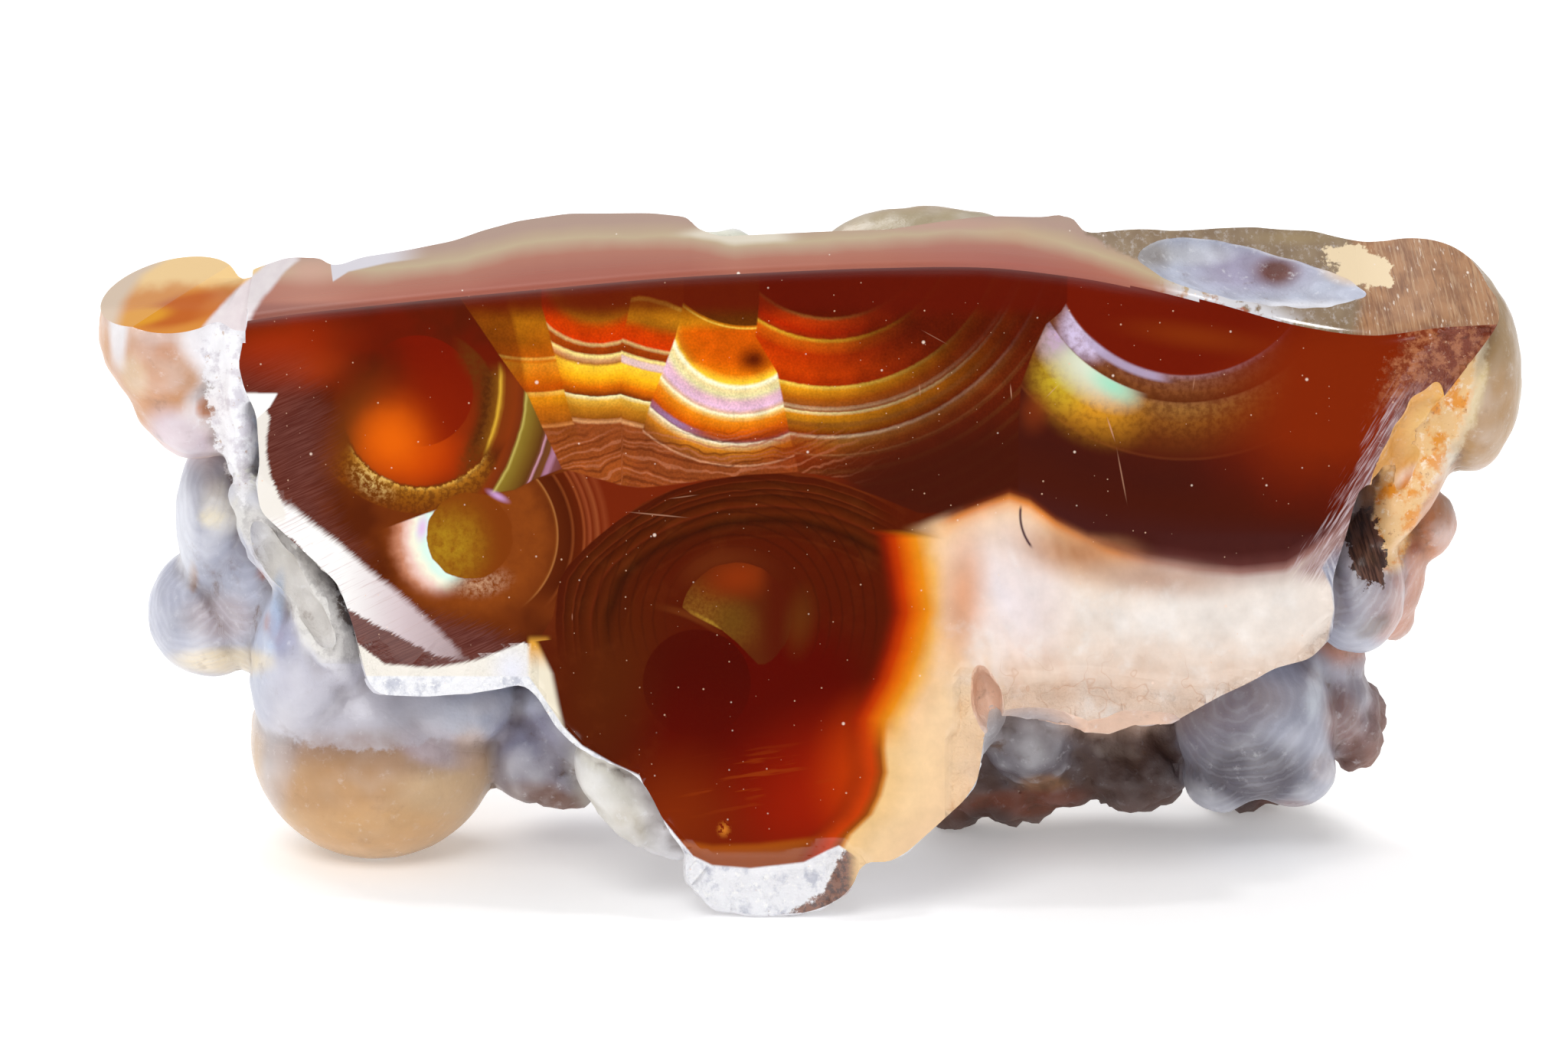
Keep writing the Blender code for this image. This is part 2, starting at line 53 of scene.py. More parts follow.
LUMPS = {
    "heart_left": ((-9.5, 5.8, 13.4), (7.4, 4.8, 6.6), 0, "blue"),
    "heart_middle": ((1.0, 6.6, 12.0), (9.5, 5.2, 7.4), 0, "blue"),
    "heart_right": ((12.8, 6.4, 13.2), (7.8, 4.8, 6.2), 0, "blue"),
    "heart_low": ((2.4, 5.0, 6.4), (5.4, 4.0, 4.4), 0, "rind"),
    "heart_base": ((8.0, 7.0, 7.6), (8.4, 3.6, 3.4), 0, "matrix"),
    "bulb": ((-13.9, 6.0, 3.95), (4.25, 4.1, 4.1), 0, "bulb"),
    "bulb_neck": ((-15.9, 5.0, 7.6), (2.0, 3.0, 3.7), 14, "neck"),
    "bulb_root": ((-12.1, 5.5, 5.6), (3.3, 3.0, 1.9), 0, "neck"),
    "rind_left": ((-18.1, 4.6, 17.2), (0.95, 2.8, 3.6), 0, "rind"),
    "rind_upper": ((-16.9, 4.2, 11.6), (1.2, 2.9, 2.6), -30, "rind"),
    "rind_lower": ((-15.4, 4.0, 8.9), (1.2, 2.7, 2.6), -22, "rind"),
    "amber_top": ((-20.5, 6.0, 18.5), (2.55, 4.0, 2.9), 0, "amber"),
    "amber_low": ((-20.1, 6.0, 16.4), (1.9, 3.2, 2.5), -24, "amber"),
    "amber_root": ((-18.4, 5.8, 17.0), (1.8, 3.2, 2.9), 0, "rind"),
    "left_back": ((-19.7, 9.0, 7.6), (2.05, 3.2, 2.15), 0, "blue"),
    "left_back_upper": ((-19.2, 8.6, 11.0), (1.55, 3.0, 3.0), 0, "blue"),
    "left_back_root": ((-17.4, 8.4, 9.0), (2.5, 3.6, 3.5), 0, "blue"),
    "right_bulb": ((23.0, 4.9, 17.1), (1.75, 3.2, 3.3), 0, "olive"),
    "right_shoulder": ((21.1, 5.2, 18.3), (3.2, 4.0, 3.3), 0, "olive"),
    "right_break": ((21.0, 4.1, 14.4), (1.3, 2.8, 3.5), 22, "amber"),
    "right_blue": ((19.2, 3.7, 10.0), (1.7, 2.6, 2.2), 0, "blue"),
    "knob_upper": ((21.8, 6.5, 11.4), (1.0, 1.5, 1.15), 0, "pink"),
    "knob_middle": ((21.1, 6.6, 12.6), (1.0, 1.6, 1.1), 0, "pink"),
    "knob_lower": ((20.7, 7.0, 8.6), (0.8, 1.6, 1.45), 0, "pink"),
    "knob_root": ((19.7, 6.5, 10.2), (2.1, 2.8, 3.0), 0, "pink"),
    "grape_large": ((16.0, 5.6, 4.7), (2.7, 2.8, 2.65), 0, "blue"),
    "grape_low": ((14.8, 5.0, 2.75), (1.25, 1.4, 1.05), 0, "blue"),
    "grape_middle": ((17.3, 5.2, 3.15), (1.5, 1.6, 1.3), 0, "blue"),
    "grape_back": ((18.6, 7.4, 4.7), (1.45, 2.0, 1.6), 0, "blue"),
    "grape_brown": ((19.5, 7.8, 3.9), (1.0, 1.7, 1.65), 0, "rust"),
    "matrix_corner": ((5.75, 8.4, 1.15), (1.1, 1.2, 1.25), 0, "matrix"),
    "matrix_left": ((7.5, 7.8, 1.75), (2.1, 1.7, 1.25), 0, "matrix"),
    "matrix_middle": ((9.3, 7.4, 2.35), (1.7, 1.7, 1.25), 0, "matrix"),
    "matrix_right": ((12.1, 7.0, 2.55), (1.8, 1.7, 1.3), 0, "matrix"),
    "matrix_bed": ((9.9, 8.5, 3.7), (4.9, 2.8, 2.4), 0, "matrix"),
    "matrix_foot": ((16.0, 10.9, 1.75), (1.7, 1.7, 1.85), 0, "matrix"),
    "matrix_foot_root": ((14.8, 9.4, 4.4), (2.8, 2.4, 2.6), 0, "matrix"),
    "grey_bulb": ((8.4, 6.4, 4.0), (1.6, 1.8, 1.65), 0, "grey"),
    "between": ((-8.4, 5.4, 3.7), (1.7, 2.0, 1.85), 0, "grey"),
    "between_low": ((-7.3, 5.0, 2.85), (1.05, 1.3, 1.1), 0, "rust"),
    "between_root": ((-5.8, 5.4, 5.2), (3.4, 2.6, 2.7), 0, "grey"),
    "lobe_tip": ((-0.4, -1.5, 1.95), (3.0, 2.3, 2.05), 0, "rind"),
    "lobe_back": ((0.8, 2.0, 4.2), (3.9, 2.8, 3.2), 0, "rind"),
    "apron": ((-4.6, 0.4, 3.6), (1.15, 1.6, 2.4), -33, "rind"),
    "flake": ((-5.7, -0.5, 3.95), (0.8, 1.0, 2.15), -33, "flake"),
    "hump": ((4.9, 8.4, 20.2), (3.9, 2.0, 1.75), 0, "olive"),
    "hump_left": ((-1.8, 6.6, 20.7), (1.45, 1.1, 1.0), 0, "rind"),
    "top_back_left": ((-8.0, 6.4, 18.6), (5.4, 3.2, 2.3), 0, "rind"),
    "top_back_middle": ((1.2, 5.6, 19.0), (5.0, 2.6, 2.2), 0, "rind"),
    "top_back_right": ((15.6, 6.0, 18.4), (5.4, 3.2, 2.4), 0, "rind"),
}

# The body behind the polish. A slab of agate carries the window and a cap carries the top, and both are
# fused with the bubbles into one stone. The window's outline is (x, z) on the leaning front, and the top's is
# (x, y) seen from above.
WINDOW_OUTLINE = [
    (-17.4, 24.0), (-17.6, 20.4), (-17.9, 19.4), (-18.1, 18.4), (-17.9, 17.6), (-17.5, 16.8), (-17.4, 15.2),
    (-17.5, 14.2), (-17.4, 13.5), (-16.3, 12.5), (-15.4, 11.7), (-14.8, 11.1), (-14.4, 9.9), (-14.2, 9.2),
    (-13.9, 7.9), (-13.5, 7.4), (-11.8, 7.4), (-10.4, 7.6), (-8.7, 8.0), (-8.2, 7.6), (-7.6, 6.6),
    (-7.0, 6.0), (-5.7, 5.4), (-4.9, 5.0), (-4.5, 4.5), (-3.8, 3.1), (-3.3, 2.5), (-2.7, 1.9),
    (-1.7, 1.5), (-0.8, 1.4), (0.2, 1.6), (2.4, 2.2), (3.5, 2.15), (4.1, 2.5), (4.9, 3.2),
    (6.0, 4.2), (6.45, 4.9), (6.65, 6.3), (6.8, 7.1), (8.8, 6.5), (10.8, 6.2), (11.8, 6.5),
    (12.6, 6.55), (13.4, 7.0), (14.5, 7.6), (15.4, 8.0), (16.3, 8.5), (17.5, 8.8), (18.2, 9.5),
    (18.3, 10.4), (18.2, 11.4), (18.7, 13.0), (18.9, 13.8), (19.2, 14.8), (19.7, 15.8), (20.2, 16.7),
    (21.0, 17.9), (22.1, 18.7), (22.9, 19.6), (23.2, 24.0),
]
CAP_OUTLINE = [
    (-17.6, -5.0), (-17.9, 6.6), (-16.7, 7.4), (-15.6, 6.8), (-15.1, 5.6), (-14.2, 6.4), (-12.7, 6.6),
    (-11.1, 7.1), (-10.2, 7.9), (-9.0, 8.6), (-7.3, 8.9), (-6.0, 8.5), (-4.5, 8.1), (-3.3, 7.4),
    (-2.9, 6.0), (-2.1, 4.9), (-1.3, 4.3), (-0.2, 4.0), (0.9, 4.4), (1.9, 4.5), (3.2, 4.9),
    (4.2, 5.3), (5.5, 5.9), (6.8, 6.5), (8.1, 6.8), (9.2, 7.2), (9.7, 6.6), (10.1, 4.9),
    (10.5, 3.8), (11.2, 3.9), (12.2, 4.7), (13.7, 5.4), (15.8, 6.6), (17.8, 7.2), (19.8, 6.8),
    (21.4, 6.4), (22.3, 5.8), (23.2, 4.4), (23.7, 3.0), (23.8, 1.2), (23.2, -5.0),
]
SLAB_FRONT = -6.0
SLAB_PUSHES = (((0, 7.6, 0), (1, 1, 1), (0, 0, 0)), ((0, 3.4, 0), (0.84, 1, 0.84), (2.0, 5.0, 15.0)))
CAP_TOP = 25.0
CAP_PUSHES = (((0, 0, -5.2), (1, 1, 1), (0, 0, 0)), ((0, 0, -5.3), (0.8, 0.8, 1), (3.0, 2.0, 14.5)))


def mesh_object(name, bm):
    mesh = bpy.data.meshes.new(name)
    bm.to_mesh(mesh)
    bm.free()
    obj = bpy.data.objects.new(name, mesh)
    bpy.context.scene.collection.objects.link(obj)
    return obj


def settle(obj):
    """Replaces the object's mesh with what its modifiers make of it."""
    graph = bpy.context.evaluated_depsgraph_get()
    obj.data = bpy.data.meshes.new_from_object(obj.evaluated_get(graph))
    obj.modifiers.clear()


def rise_between(low, high, value):
    """0 at low and 1 at high, with a smooth rise between them."""
    t = min(max((value - low) / (high - low), 0.0), 1.0)
    return t * t * (3 - 2 * t)


def grow_lump(bm, centre, radii, turn=0.0, subdivisions=5):
    place = Matrix.Translation(centre) @ Matrix.Rotation(math.radians(turn), 4, "Y")
    shape = place @ Matrix.Diagonal((*radii, 1.0))
    bmesh.ops.create_icosphere(bm, subdivisions=subdivisions, radius=1.0, matrix=shape)


def grow_block(bm, ring, pushes):
    """A closed block: the ring's face, pushed on by each step and drawn in about a middle."""
    cap = bm.faces.new([bm.verts.new(point) for point in ring])
    for push, scale, middle in pushes:
        grown = bmesh.ops.extrude_face_region(bm, geom=[cap])["geom"]
        verts = [v for v in grown if isinstance(v, bmesh.types.BMVert)]
        cap = next(f for f in grown if isinstance(f, bmesh.types.BMFace))
        bmesh.ops.translate(bm, verts=verts, vec=push)
        bmesh.ops.scale(bm, verts=verts, vec=scale, space=Matrix.Translation(-Vector(middle)))


# bubbles of chalcedony over the back, which swells out in its middle
BACK_LUMPS = 44
GOLDEN = 0.618034
VOXEL = 0.23


def back_lump(i):
    across = (i * GOLDEN) % 1.0
    up = (i + 0.5) / BACK_LUMPS
    radius = 1.2 + 2.1 * noise.cell(Vector((i * 1.7, 3.0, 5.0))) ** 2
    x = -16.5 + 35.5 * across
    z = 3.6 + 12.8 * up
    y = 12.4 - 0.006 * (x - 1.0) ** 2 - 0.022 * (z - 11.0) ** 2 - 0.75 * radius
    return (x, y, z), (radius, radius, 0.92 * radius)


bm = bmesh.new()
grow_block(bm, [(x, SLAB_FRONT, z) for x, z in WINDOW_OUTLINE], SLAB_PUSHES)
grow_block(bm, [(x, y, CAP_TOP) for x, y in CAP_OUTLINE], CAP_PUSHES)
bmesh.ops.recalc_face_normals(bm, faces=bm.faces)
for centre, radii, turn, colouring in LUMPS.values():
    grow_lump(bm, centre, radii, turn)
for i in range(BACK_LUMPS):
    grow_lump(bm, *back_lump(i), subdivisions=4)
stone = mesh_object("fire_agate_stone", bm)
fuse = stone.modifiers.new("Fuse", "REMESH")
fuse.mode = "VOXEL"
fuse.voxel_size = VOXEL
soften = stone.modifiers.new("Soften", "SMOOTH")
soften.factor = 0.5
soften.iterations = 3
settle(stone)


# The ground and polished faces. A saw and then finer and finer grit took the front and top down to flat,
# bright surfaces. The front leans back and bows a little, and a narrow strip is ground off its lower left.

# the ridge between the front and the top, as (x, z)
RIDGE_LINE = [
    (-30.0, 17.6), (-18.0, 19.95), (-13.0, 20.6), (-7.7, 21.15), (-3.9, 21.5), (0.0, 21.72), (3.0, 21.84),
    (6.5, 21.86), (9.1, 21.6), (11.7, 21.16), (14.3, 20.58), (17.0, 19.85), (19.5, 19.5), (22.0, 19.75),
    (30.0, 20.0),
]
FACE_LEAN = math.tan(math.radians(10.0))
FACE_MIDDLE = (3.0, 14.0)
FACE_BOW_RADIUS = 420.0
STRIP_CORNER = Vector((-16.2, 13.7))
STRIP_ANGLE = math.radians(229.0)
STRIP_WIDTH = 1.5
POLISH_COLUMNS = 220
POLISH_ROWS = 80
RIDGE_STEPS = 10
TOP_RUNS = (1.0, 2.0, 4.0, 8.0, 30.0)
POLISH_HALF_WIDTH = 28.0
POLISH_FOOT = -2.0


def ridge_z(x):
    """The ridge's height at x, on a smooth curve through the ridge line's points."""
    for i in range(len(RIDGE_LINE) - 1):
        (x0, z0), (x1, z1) = RIDGE_LINE[i], RIDGE_LINE[i + 1]
        if x <= x1:
            break
    before = RIDGE_LINE[max(i - 1, 0)]
    after = RIDGE_LINE[min(i + 2, len(RIDGE_LINE) - 1)]
    slope0 = (z1 - before[1]) / (x1 - before[0])
    slope1 = (after[1] - z0) / (after[0] - x0)
    run = x1 - x0
    t = (x - x0) / run
    bend = (2 * t ** 3 - 3 * t ** 2 + 1) * z0 + (3 * t ** 2 - 2 * t ** 3) * z1
    return bend + ((t ** 3 - 2 * t ** 2 + t) * slope0 + (t ** 3 - t ** 2) * slope1) * run


def face_y(x, z):
    """How deep the polished front lies, without its ground strip."""
    return (z - FACE_MIDDLE[1]) * FACE_LEAN + (x - FACE_MIDDLE[0]) ** 2 / (2 * FACE_BOW_RADIUS)


def polish_profile(x):
    """(y, z) points of the polish at x: up the front, round the ridge and back along the top."""
    rise = 0.06 + 0.24 * rise_between(8.5, 13.0, x)
    fillet = 0.35 + 0.55 * rise_between(10.0, 17.0, x)
    top = ridge_z(x)
    edge = face_y(x, top)
    last_z = top - fillet
    points = []
    for i in range(POLISH_ROWS):
        z = POLISH_FOOT + (last_z - POLISH_FOOT) * i / POLISH_ROWS
        points.append((face_y(x, z), z))
    start_y = face_y(x, last_z)
    end_y = edge + fillet
    end_z = top + rise * fillet
    for i in range(RIDGE_STEPS + 1):
        t = i / RIDGE_STEPS
        y = (1 - t) ** 2 * start_y + 2 * t * (1 - t) * edge + t * t * end_y
        z = (1 - t) ** 2 * last_z + 2 * t * (1 - t) * top + t * t * end_z
        points.append((y, z))
    for run in TOP_RUNS:
        points.append((edge + run, top + rise * run))
    return points


def bent_grid(bm, columns, rows, place):
    """A grid of faces whose points are put where place(column, row) says."""
    made = bmesh.ops.create_grid(bm, x_segments=columns, y_segments=rows, size=1.0)["verts"]
    for vert in made:
        column = round((vert.co.x + 1) / 2 * columns)
        row = round((vert.co.y + 1) / 2 * rows)
        vert.co = place(column, row)


def thicken(bm, depth):
    """Turns an open grid into a closed block that reaches depth behind it."""
    skin = bm.faces[:]
    grown = bmesh.ops.extrude_face_region(bm, geom=skin, use_keep_orig=True)["geom"]
    bmesh.ops.translate(bm, verts=[v for v in grown if isinstance(v, bmesh.types.BMVert)], vec=depth)
    bmesh.ops.recalc_face_normals(bm, faces=bm.faces)


def cut(obj, cutter, operation):
    """Cuts obj with cutter, whose own materials line the cut."""
    step = obj.modifiers.new("Cut", "BOOLEAN")
    step.operation = operation
    step.solver = "MANIFOLD"
    step.material_mode = "TRANSFER"
    step.object = cutter
    settle(obj)
    bpy.data.objects.remove(cutter)


def finish(name):
    return bpy.data.materials.new(name)


NATURAL = finish("natural_chalcedony")
FRONT = finish("polished_front")
TOP = finish("polished_top")
DISH = finish("dish_chalcedony")
BROKEN = finish("broken_chalcedony")
AMBER = finish("ground_amber")
stone.data.materials.append(NATURAL)

stations = [POLISH_HALF_WIDTH * (2 * i / POLISH_COLUMNS - 1) for i in range(POLISH_COLUMNS + 1)]
profiles = [polish_profile(x) for x in stations]


def on_polish(column, row):
    return (stations[column], *profiles[column][row])


bm = bmesh.new()
bent_grid(bm, POLISH_COLUMNS, len(profiles[0]) - 1, on_polish)
thicken(bm, (0.0, 40.0, -40.0))
for face in bm.faces:
    middle = face.calc_center_median()
    face.material_index = 1 if middle.z > ridge_z(middle.x) - 0.16 else 0
polisher = mesh_object("polisher", bm)
polisher.data.materials.append(FRONT)
polisher.data.materials.append(TOP)
cut(stone, polisher, "INTERSECT")

# the strip: a steep facet, then a gentle one that runs out to the edge
STRIP_STATIONS = 60
STRIP_STEPS = 8
STRIP_REACH = 10.0


def on_strip(column, row):
    """A point of the facet: along the corner line from upper left to lower right, then across and down."""
    along = -8.0 + 26.0 * column / STRIP_STATIONS
    across = Vector((math.cos(STRIP_ANGLE), math.sin(STRIP_ANGLE)))
    down = Vector((-across.y, across.x))
    a = STRIP_REACH * row / STRIP_STEPS if row > 1 else (0.0, STRIP_WIDTH)[row]
    x, z = STRIP_CORNER + down * along + across * a
    steep = 0.30 * min(a, STRIP_WIDTH) + 0.12 * max(a - STRIP_WIDTH, 0.0)
    return (x, face_y(x, z) + steep * rise_between(-5.0, -11.0, x), z)


bm = bmesh.new()
bent_grid(bm, STRIP_STATIONS, STRIP_STEPS, on_strip)
thicken(bm, (0.0, -8.0, 0.0))
stripper = mesh_object("stripper", bm)
stripper.data.materials.append(FRONT)
cut(stone, stripper, "DIFFERENCE")

# the slope ground on the amber lobe at the upper left
bm = bmesh.new()
bmesh.ops.create_cube(bm, size=1.0)
bmesh.ops.translate(bm, verts=bm.verts, vec=(0.0, 0.0, 0.5))
slope = Matrix.Translation((-20.85, 2.8, 19.35)) @ Matrix.Rotation(math.radians(10.0), 4, "X")
bmesh.ops.transform(bm, matrix=slope @ Matrix.Diagonal((6.0, 24.0, 10.0, 1.0)), verts=bm.verts)
grinder = mesh_object("grinder", bm)
grinder.data.materials.append(AMBER)
cut(stone, grinder, "DIFFERENCE")


# Where the stone is broken. Agate breaks in shells, so each break is a scoop with ripples in it. The dish in
# the top is a natural hollow that the saw opened.

SCOOPS = {
    "dish": ((16.2, 2.75, 21.5), (4.9, 2.5, 1.3), 8, 0.08, DISH),
    "break_low_left": ((8.5, -2.0, 6.5), (2.1, 1.5, 0.95), 6, 0.10, BROKEN),
    "break_low_right": ((11.5, -2.0, 6.4), (2.3, 1.4, 0.9), -8, 0.10, BROKEN),
    "break_notch": ((6.75, -2.4, 7.5), (0.6, 2.4, 1.5), -14, 0.06, BROKEN),
    "break_right": ((20.6, 0.0, 15.2), (0.9, 1.7, 3.6), 22, 0.15, BROKEN),
    "break_left": ((-16.6, 0.7, 11.0), (0.7, 1.5, 3.3), -33, 0.12, BROKEN),
}
for name, (centre, radii, turn, ripple, lining) in SCOOPS.items():
    bm = bmesh.new()
    grow_lump(bm, centre, radii, turn, subdivisions=6)
    bm.normal_update()
    for vert in bm.verts:
        vert.co += vert.normal * ripple * noise.noise(vert.co * 1.3)
    scoop = mesh_object(name, bm)
    scoop.data.materials.append(lining)
    cut(stone, scoop, "DIFFERENCE")

# the feet, level at height 0
bm = bmesh.new()
bm.from_mesh(stone.data)
whole = bm.verts[:] + bm.edges[:] + bm.faces[:]
sole = bmesh.ops.bisect_plane(
    bm, geom=whole, dist=1e-4, plane_co=(0, 0, 0), plane_no=(0, 0, 1), clear_inner=True
)["geom_cut"]
bmesh.ops.holes_fill(bm, edges=[e for e in sole if isinstance(e, bmesh.types.BMEdge)])
# crumbs that the cuts left loose are brushed away: the stone is one body
unseen = set(bm.verts)
bodies = []
while unseen:
    edge_of_body = [unseen.pop()]
    body = []
    while edge_of_body:
        vert = edge_of_body.pop()
        body.append(vert)
        for edge in vert.link_edges:
            other = edge.other_vert(vert)
            if other in unseen:
                unseen.discard(other)
                edge_of_body.append(other)
    bodies.append(body)
crumbs = [vert for body in sorted(bodies, key=len)[:-1] for vert in body]
bmesh.ops.delete(bm, geom=crumbs, context="VERTS")
bmesh.ops.triangulate(bm, faces=bm.faces)
bm.to_mesh(stone.data)
bm.free()


# The natural skin: relief that is too fine for the lumps, then the colours. Each colouring has its own
# relief and tone, and each point of the skin takes them from the lumps around it. A point on a ground face
# stays put.

TONES = {
    "blue": (168, 170, 186), "rind": (222, 220, 224), "matrix": (106, 78, 68), "bulb": (206, 172, 132),
    "neck": (188, 196, 216), "amber": (196, 138, 84), "olive": (164, 134, 96), "pink": (192, 132, 104),
    "rust": (126, 78, 58), "grey": (156, 152, 164), "flake": (206, 202, 194),
}
RELIEF = {
    "blue": 0.07, "rind": 0.22, "matrix": 0.34, "bulb": 0.02, "neck": 0.10, "amber": 0.08, "olive": 0.06,
    "pink": 0.12, "rust": 0.26, "grey": 0.10, "flake": 0.12,
}
BREAK_RELIEF = 0.16
DISH_RELIEF = 0.07
ROUGHEST = max(RELIEF.values())
RIPPLE_SEED = 1

# the sheet that the stone is drawn on as it is seen from the front: its step, its middle, and how far the
# view looks down on the stone
STEP_MM = 0.02539
SHEET_MIDDLE = (1024.0, 682.5)
AIM_HEIGHT = 13.32
VIEW_DROP = math.radians(16.0)


def tint(red, green, blue):
    """A colour from display values of 0 to 255, as the shader wants it."""
    out = []
    for value in (red, green, blue):
        share = value / 255
        out.append(share / 12.92 if share <= 0.04045 else ((share + 0.055) / 1.055) ** 2.4)
    return (*out, 1.0)


def paint(*colour):
    """The same colour for the points of the skin."""
    return np.array(tint(*colour)[:3])


def washed(tone, colour, amount):
    """The points' tones with a colour laid over them, each by its own amount from 0 to 1."""
    return tone + amount[:, None] * (paint(*colour) - tone)


def numbers(collection, field, width=1, kind=np.float32):
    """A field of everything in one of the mesh's collections, width values to a row."""
    values = np.empty(len(collection) * width, dtype=kind)
    collection.foreach_get(field, values)
    return values.reshape(-1, width) if width > 1 else values


def belonging(points):
    """How much each point belongs to each colouring, as shares that add up to 1."""
    kinds = list(TONES)
    shares = np.full((len(points), len(kinds)), 1e-9)
    for centre, radii, turn, colouring in LUMPS.values():
        c, s = math.cos(math.radians(turn)), math.sin(math.radians(turn))
        dx, dy, dz = (points - np.array(centre)).T
        local = np.stack([(dx * c - dz * s) / radii[0], dy / radii[1], (dx * s + dz * c) / radii[2]])
        away = (np.sqrt((local ** 2).sum(axis=0)) - 1.0) * min(radii)
        shares[:, kinds.index(colouring)] += np.exp(-np.clip(away, -0.3, 30.0) * 5.0)
    return shares / shares.sum(axis=1)[:, None]


def blurred(edges, values, rounds):
    """Each point's value evened out with its neighbours'."""
    degree = np.bincount(edges.ravel(), minlength=len(values)).astype(float)
    for _ in range(rounds):
        total = np.zeros_like(values)
        np.add.at(total, edges[:, 0], values[edges[:, 1]])
        np.add.at(total, edges[:, 1], values[edges[:, 0]])
        values = 0.5 * values + 0.5 * total / (degree[:, None] if values.ndim == 2 else degree)
    return values


def on_finish(*names):
    """1 for each point that a face of one of those finishes touches, else 0."""
    touched = np.zeros(len(skin))
    touched[corners[np.array([name in names for name in finishes])[corner_finish]]] = 1.0
    return touched


def share_of(colouring):
    return shares[:, kinds.index(colouring)]


mesh = stone.data
kinds = list(TONES)
finishes = [slot.name for slot in mesh.materials]
skin = numbers(mesh.vertices, "co", 3).astype(float)
normals = numbers(mesh.vertices, "normal", 3).astype(float)
pairs = numbers(mesh.edges, "vertices", 2, np.int32)
corners = numbers(mesh.loops, "vertex_index", 1, np.int32)
face_finish = numbers(mesh.polygons, "material_index", 1, np.int32)
corner_finish = np.repeat(face_finish, numbers(mesh.polygons, "loop_total", 1, np.int32))
free = 1.0 - on_finish("polished_front", "polished_top", "ground_amber")
broken = on_finish("broken_chalcedony")
dish = on_finish("dish_chalcedony")
shares = belonging(skin)
relief = shares @ np.array([RELIEF[kind] for kind in kinds])
depth = np.where(broken > 0.5, BREAK_RELIEF, np.where(dish > 0.5, DISH_RELIEF, relief))
hold = np.minimum(blurred(pairs, free, 3), free)
knobs = share_of("matrix") + share_of("rust")
push = np.zeros(len(skin))
# a fixed seed, as noise vectors, which bend the ripples, would otherwise change from run to run
noise.seed_set(RIPPLE_SEED)
for i in np.nonzero(hold > 0.01)[0]:
    at = Vector(skin[i])
    coarse = noise.noise(at * 0.55) * 0.9 + noise.noise(at * 1.5 + Vector((7.0, 1.0, 3.0))) * 0.7
    if broken[i] > 0.5:
        bent = Vector((at.x * 0.6, at.y * 0.9, at.z)) + noise.noise_vector(at * 0.6) * 0.5
        cells = noise.voronoi(bent)[0]
        coarse = 1.5 * cells[0] - 0.7 + noise.noise(at * 2.0) * 0.35
    elif knobs[i] > 0.25:
        cells = noise.voronoi(at * 0.85)[0]
        coarse = 0.9 - 1.6 * cells[0] + noise.noise(at * 2.2) * 0.6
    push[i] = coarse
skin += normals * (push * depth * hold)[:, None]
skin[:, 2] = np.where(skin[:, 2] < 0.02, np.maximum(skin[:, 2], 0.0), skin[:, 2])
mesh.vertices.foreach_set("co", skin.astype(np.float32).ravel())
mesh.update()

# colours: the colouring's own tone, then patches where the stone shows them, then painted shade in the
# hollows and a painted highlight on the crests
normals = numbers(mesh.vertices, "normal", 3).astype(float)
smooth = blurred(pairs, skin, 14)
hollow = np.clip(((smooth - skin) * normals).sum(axis=1) * 7.0, -1.0, 1.0)
tone = shares @ np.array([paint(*TONES[kind]) for kind in kinds])
stain = np.array([noise.noise(Vector(at) * 0.21) for at in skin])
behind = np.clip(normals[:, 1] * 2.0, 0.0, 1.0)
tone = washed(tone, (204, 184, 164), np.clip(stain * 2.2, 0.0, 0.6) * behind)
tone = washed(tone, (132, 124, 140), np.clip(-stain * 2.2 - 0.2, 0.0, 0.5) * behind)
across = SHEET_MIDDLE[0] + skin[:, 0] / STEP_MM
raised_by = skin[:, 1] * math.sin(VIEW_DROP) + (skin[:, 2] - AIM_HEIGHT) * math.cos(VIEW_DROP)
down = SHEET_MIDDLE[1] - raised_by / STEP_MM
outwards = np.array((0.0, -math.cos(VIEW_DROP), math.sin(VIEW_DROP)))
facing = np.clip((normals @ outwards) * 3.0 + 0.4, 0.0, 1.0)
tone[(broken > 0.5) & (across > 1180) & (across < 1800) & (down > 780)] = paint(222, 186, 164)
tone[(broken > 0.5) & (across > 1780)] = paint(216, 160, 88)
tone[(broken > 0.5) & (across < 600)] = paint(208, 204, 198)
